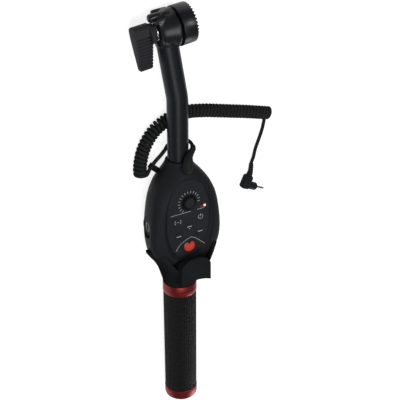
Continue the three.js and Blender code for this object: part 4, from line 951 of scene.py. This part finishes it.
# Grip sleeve: moulded rubber, pushed over the core. Fine flutes run along it, and close shallow
# steps cross them, so that its skin breaks into small pads.
sleeve_radius = 15.5
sleeve_sides = 144
sleeve_rim = grip_low + 0.4
pad_count = 46
pad = (grip_top - grip_low - 0.8) / pad_count
sleeve_profile = [(ring_bore, grip_low), (15.1, grip_low), (sleeve_radius, sleeve_rim)]
for k in range(pad_count):
    pad_low = sleeve_rim + pad * k
    sleeve_profile += [(sleeve_radius, pad_low + pad * 0.32), (sleeve_radius, pad_low + pad * 0.82),
                       (15.22, pad_low + pad)]
sleeve_profile += [(15.1, grip_top - 0.1), (ring_bore, grip_top), (ring_bore, grip_low)]
sleeve = turned("grip_sleeve_cover", sleeve_profile, sleeve_sides)
notched(sleeve, sleeve_sides, 3, 1, 15, 0.978)
smoothed(placed(sleeve, bar_frame), 25)
grip_rubber = grained("grip_rubber", "101010", "181818", 0.6, 0.14, 0.5, 0.02,
                      Specular_IOR_Level=0.12)
dressed(sleeve, grip_rubber, "bar_body", "rubber", "grip_sleeve")


# Clamp: a cast boss over the tube's end, flared towards a toothed rosette that bites on the
# tripod head's own. A deep groove parts the two, and two fingers reach back from its hood.
def from_solid(name, node, width, segments=3):
    """A merged copy of a CAD solid with its flat faces joined up and its edges eased."""
    alone(frame["nodes"][node])
    bpy.ops.object.duplicate()
    piece = bpy.context.object
    piece.name = name
    piece.parent = None
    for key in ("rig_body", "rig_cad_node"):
        del piece[key]
    bpy.ops.object.mode_set(mode="EDIT")
    bpy.ops.mesh.select_all(action="SELECT")
    bpy.ops.mesh.remove_doubles(threshold=2e-6)
    bpy.ops.mesh.dissolve_limited(angle_limit=math.radians(1))
    bpy.ops.object.mode_set(mode="OBJECT")
    return rounded(piece, width, segments)


screw_axis = Vector((leg.y, -leg.x, 0)).normalized()
clamp_turn = Matrix((screw_axis, leg_along, screw_axis.cross(leg_along))).transposed().to_4x4()
clamp_frame = Matrix.Translation(at(*clamp_centre)) @ clamp_turn


def eased(corners, steps=5):
    """An outline through (x, y, round) corners, each drawn round by its own amount."""
    outline = []
    for k, (x, y, amount) in enumerate(corners):
        corner = Vector((x, y))
        back = (Vector(corners[k - 1][:2]) - corner).normalized() * amount
        ahead = (Vector(corners[(k + 1) % len(corners)][:2]) - corner).normalized() * amount
        for step in range(steps + 1):
            t = step / steps
            outline.append(tuple(corner + back * (1 - t) ** 2 + ahead * t ** 2))
    return outline


boss = placed(turned("clamp_boss_cover", [
    (5.6, -7.9), (8.6, -7.85), (9.6, -7.6), (10.5, -6.9), (11.5, -5.6), (12.4, -3.9), (13.4, -1.7),
    (14.3, 0.6), (15.2, 2.9), (16.1, 5.1), (16.6, 6.2), (16.6, 6.9),
    (12.2, 6.9), (12.2, 9.3)], 96), to_side)
hood = slab("hood", eased([
    (6.9, 0, 0.3), (6.9, 16.4, 1.2), (3.5, 16.9, 2), (-5.4, 14.1, 1), (-8.6, 12.6, 1.2),
    (-8.2, 9, 1), (-6, 0, 0.3)]), -15.4, 15.4)
combine(hood, placed(slab("tool", squared_oval(9.9, 16.9, 2.4, 64), -20, 20), edge_on),
        "INTERSECT")
combine(boss, hood)
sleeve_end = turned("sleeve_end", [
    (9.4, -12.4), (9.7, -12.3), (9.95, -11.9), (10.05, -7), (9, -5)], 96)
combine(boss, placed(sleeve_end, lay_down))
fingers = []
for start, end, y, z, radius in ((-13.9, 4, 12.8, 1.9, 3.5), (-7, 6.5, 14, -5.3, 2.6)):
    finger = turned("finger", [
        (radius * 0.5, start), (radius * 0.8, start + radius * 0.12),
        (radius, start + radius * 0.4), (radius, start + 5), (radius * 0.8, end)], 40)
    placed(finger, Matrix.Translation((0, y / 1000, z / 1000)) @ to_side)
    fingers.append(rounded(finger, 0.6, 3, 32))
bored(boss, 9.32, -13, -7.3, 96, lay_down)
bored(boss, 3.3, -9, 10, 48, to_side)
rounded(boss, 0.6, 3, 32)
joined([boss, *fingers])
placed(boss, clamp_frame)
clamp_paint = grained("clamp_paint", "101114", "191a1e", 0.34, 0.12, 0.3, 0.006,
                      Specular_IOR_Level=0.3)
dressed(boss, clamp_paint, "bar_body", "black_paint", "clamp_boss")
rosette = from_solid("rosette_cover", "rosette", 0.12, 2)
dressed(rosette, clamp_paint, "bar_body", "black_paint", "rosette")


# Wing knob: a black moulded hub and a tapering paddle, ribbed across both broad faces for the
# fingers. It is pressed onto the clamp's screw and turns with it, over a polished washer.
knob_plastic = grained("knob_moulding", "252528", "343438", 0.55, 0.12, 0.35, 0.012,
                       Specular_IOR_Level=0.06)
paddle_low, paddle_high = -27.6, 9.5
paddle = slab("paddle", eased([
    (-28.8, paddle_low, 2.4), (-17, paddle_low, 2.4), (-14.2, -8.4, 0.6),
    (-14.2, paddle_high, 0.6), (-28.8, paddle_high, 2.4)]), -10.8, 10.8)
paddle_side = eased([
    (-1.7, paddle_low, 1.6), (1.7, paddle_low, 1.6), (5.4, 0, 0.5), (5.4, paddle_high, 4.6),
    (-5.4, paddle_high, 4.6), (-5.4, 0, 0.5)])
combine(paddle, placed(slab("tool", paddle_side, -20, 40), edge_on), "INTERSECT")
wing = placed(turned("wing_knob_cover", [
    (8.4, -15.4), (8.4, -11.5), (8.25, -11), (7.9, -10.7), (4.4, -10.7)], 96), to_side)
combine(wing, paddle)
rounded(wing, 0.7, 3, 35)
paddle_half = 5.4
paddle_slope = 3.7 / 27.6
rib_count = 10
rib_start = -0.9
rib_step = 2.65
rib_half = 1.4
rib_tools = []
for k in range(rib_count):
    y = rib_start - rib_step * k
    surface = paddle_half + paddle_slope * y
    for side in (-1, 1):
        groove = [(side * (surface - 1), y), (side * (surface + 0.6), y + rib_half),
                  (side * (surface + 0.6), y - rib_half)]
        rib_tools.append(placed(slab("rib_tool", groove, 0, 27.2), edge_on))
cut(wing, joined(rib_tools))
bored(wing, 3.1, -20.7, 0, 48, to_side)
rounded(wing, 0.16, 2, 35)
placed(wing, clamp_frame)
dressed(wing, knob_plastic, "knob_body", "knob_plastic", "wing_knob")
lathed("knob_washer", [
    (3.4, -10.55), (7.6, -10.55), (7.95, -10.4), (8.05, -10.1), (8.05, -9.5), (7.9, -9.2),
    (7.6, -9.1), (3.4, -9.1), (3.4, -10.55)], 96, clamp_frame @ to_side, 40,
    nickel, "knob_body", "steel")


# Cord clip: a small black moulded eye on the head's left shoulder that holds the cord's tail.
# It is a copy of its solid, with the edges eased.
clip = from_solid("cord_clip_cover", "cord_clip", 0.3)
dressed(clip, dial_black, "bar_body", "shell_plastic", "cord_clip")


# Table and light: a white sweep under the part, four soft lights above and beside it, and a
# surround that the camera sees as white and the finishes mirror dimly.
table_grey = 0.4
table_glow = 0.84
surround_dim = 0.12
bpy.ops.mesh.primitive_plane_add(size=6, location=(0, 0, 0))
table = bpy.context.object
table.name = "table"
table_finish, table_shader, shade = material("white_sweep", Roughness=0.9)
table_shader.inputs["Base Color"].default_value = (table_grey, table_grey, table_grey, 1)
table_shader.inputs["Specular IOR Level"].default_value = 0.1
table_shader.inputs["Emission Strength"].default_value = 1.0
seen = shade.node("LightPath", out=0)
mirrored = shade.node("LightPath", out=3)
through = shade.node("LightPath", out=6)
glow = (seen + mirrored + through) * table_glow
connect(table_shader, Emission_Color=glow.mix("000000", "ffffff"))
table.data.materials.append(table_finish)

world = bpy.data.worlds.new("surround")
bpy.context.scene.world = world
world.use_nodes = True
surround = world.node_tree.nodes["Background"]
surround.inputs["Color"].default_value = (1, 1, 1, 1)
backdrop = Shade(world.node_tree).node("LightPath", out=0)
strength = backdrop * (1 - surround_dim) + surround_dim
world.node_tree.links.new(strength.socket, surround.inputs["Strength"])


def softbox(name, offset, target, width, height, power):
    """A rectangular light in metres and watts, off the bar's middle, that faces the target."""
    light = bpy.data.lights.new(name, "AREA")
    light.shape = "RECTANGLE"
    light.size = width
    light.size_y = height
    light.energy = power
    place = bar_zero + Vector(offset)
    look = (place - target).to_track_quat("Z", "Y")
    linked(name, light).matrix_world = Matrix.Translation(place) @ look.to_matrix().to_4x4()


grip_side = bar_zero + Vector((0, -0.15, 0))
softbox("key_light", (-0.33, -0.08, 0.93), bar_zero, 0.6, 0.6, 6)
softbox("small_light", (0.34, 0.42, 0.91), clamp_frame.translation, 0.2, 0.2, 3.4)
softbox("left_light", (-0.8, 0.6, 0.3), bar_zero, 0.5, 0.7, 0.8)
softbox("right_light", (0.32, -0.62, 0.08), grip_side, 0.2, 0.3, 1.3)


# CAD nodes: the solids that no piece stands for show as they are. Each solid has a finish here:
# bare metal, a green board, a black core, and shell plastic for all the others.
switch_metal = grained("switch_metal", "8f9092", "b6b7b9", 0.34, 0.1, 0.3, 0.003, metallic=0.9)
dark_steel = grained("dark_steel", "39393a", "545456", 0.36, 0.14, 0.3, 0.004, metallic=0.9)
solder_mask = grained("solder_mask", "0c331d", "15502d", 0.38, 0.1, 0.5, 0.004)
core_moulding = grained("core_moulding", "1a1a1b", "262627", 0.5, 0.14, 0.4, 0.01,
                        Specular_IOR_Level=0.1)
finishes = {
    "clamp_screw": dark_steel, "retaining_ring": switch_metal, "grip_core": core_moulding,
    "circuit_board": solder_mask, "dial_pot": switch_metal, "dial_shaft": nickel,
    **{f"{name}_switch": switch_metal for name in (*key_places, "rec")},
    **{f"housing_screw_{k}": dark_steel for k in range(1, 5)},
}
for name, node in frame["nodes"].items():
    finish = finishes.get(name, shell_plastic)
    if not node.material_slots:
        node.data.materials.append(finish)
    for slot in node.material_slots:
        slot.material = finish
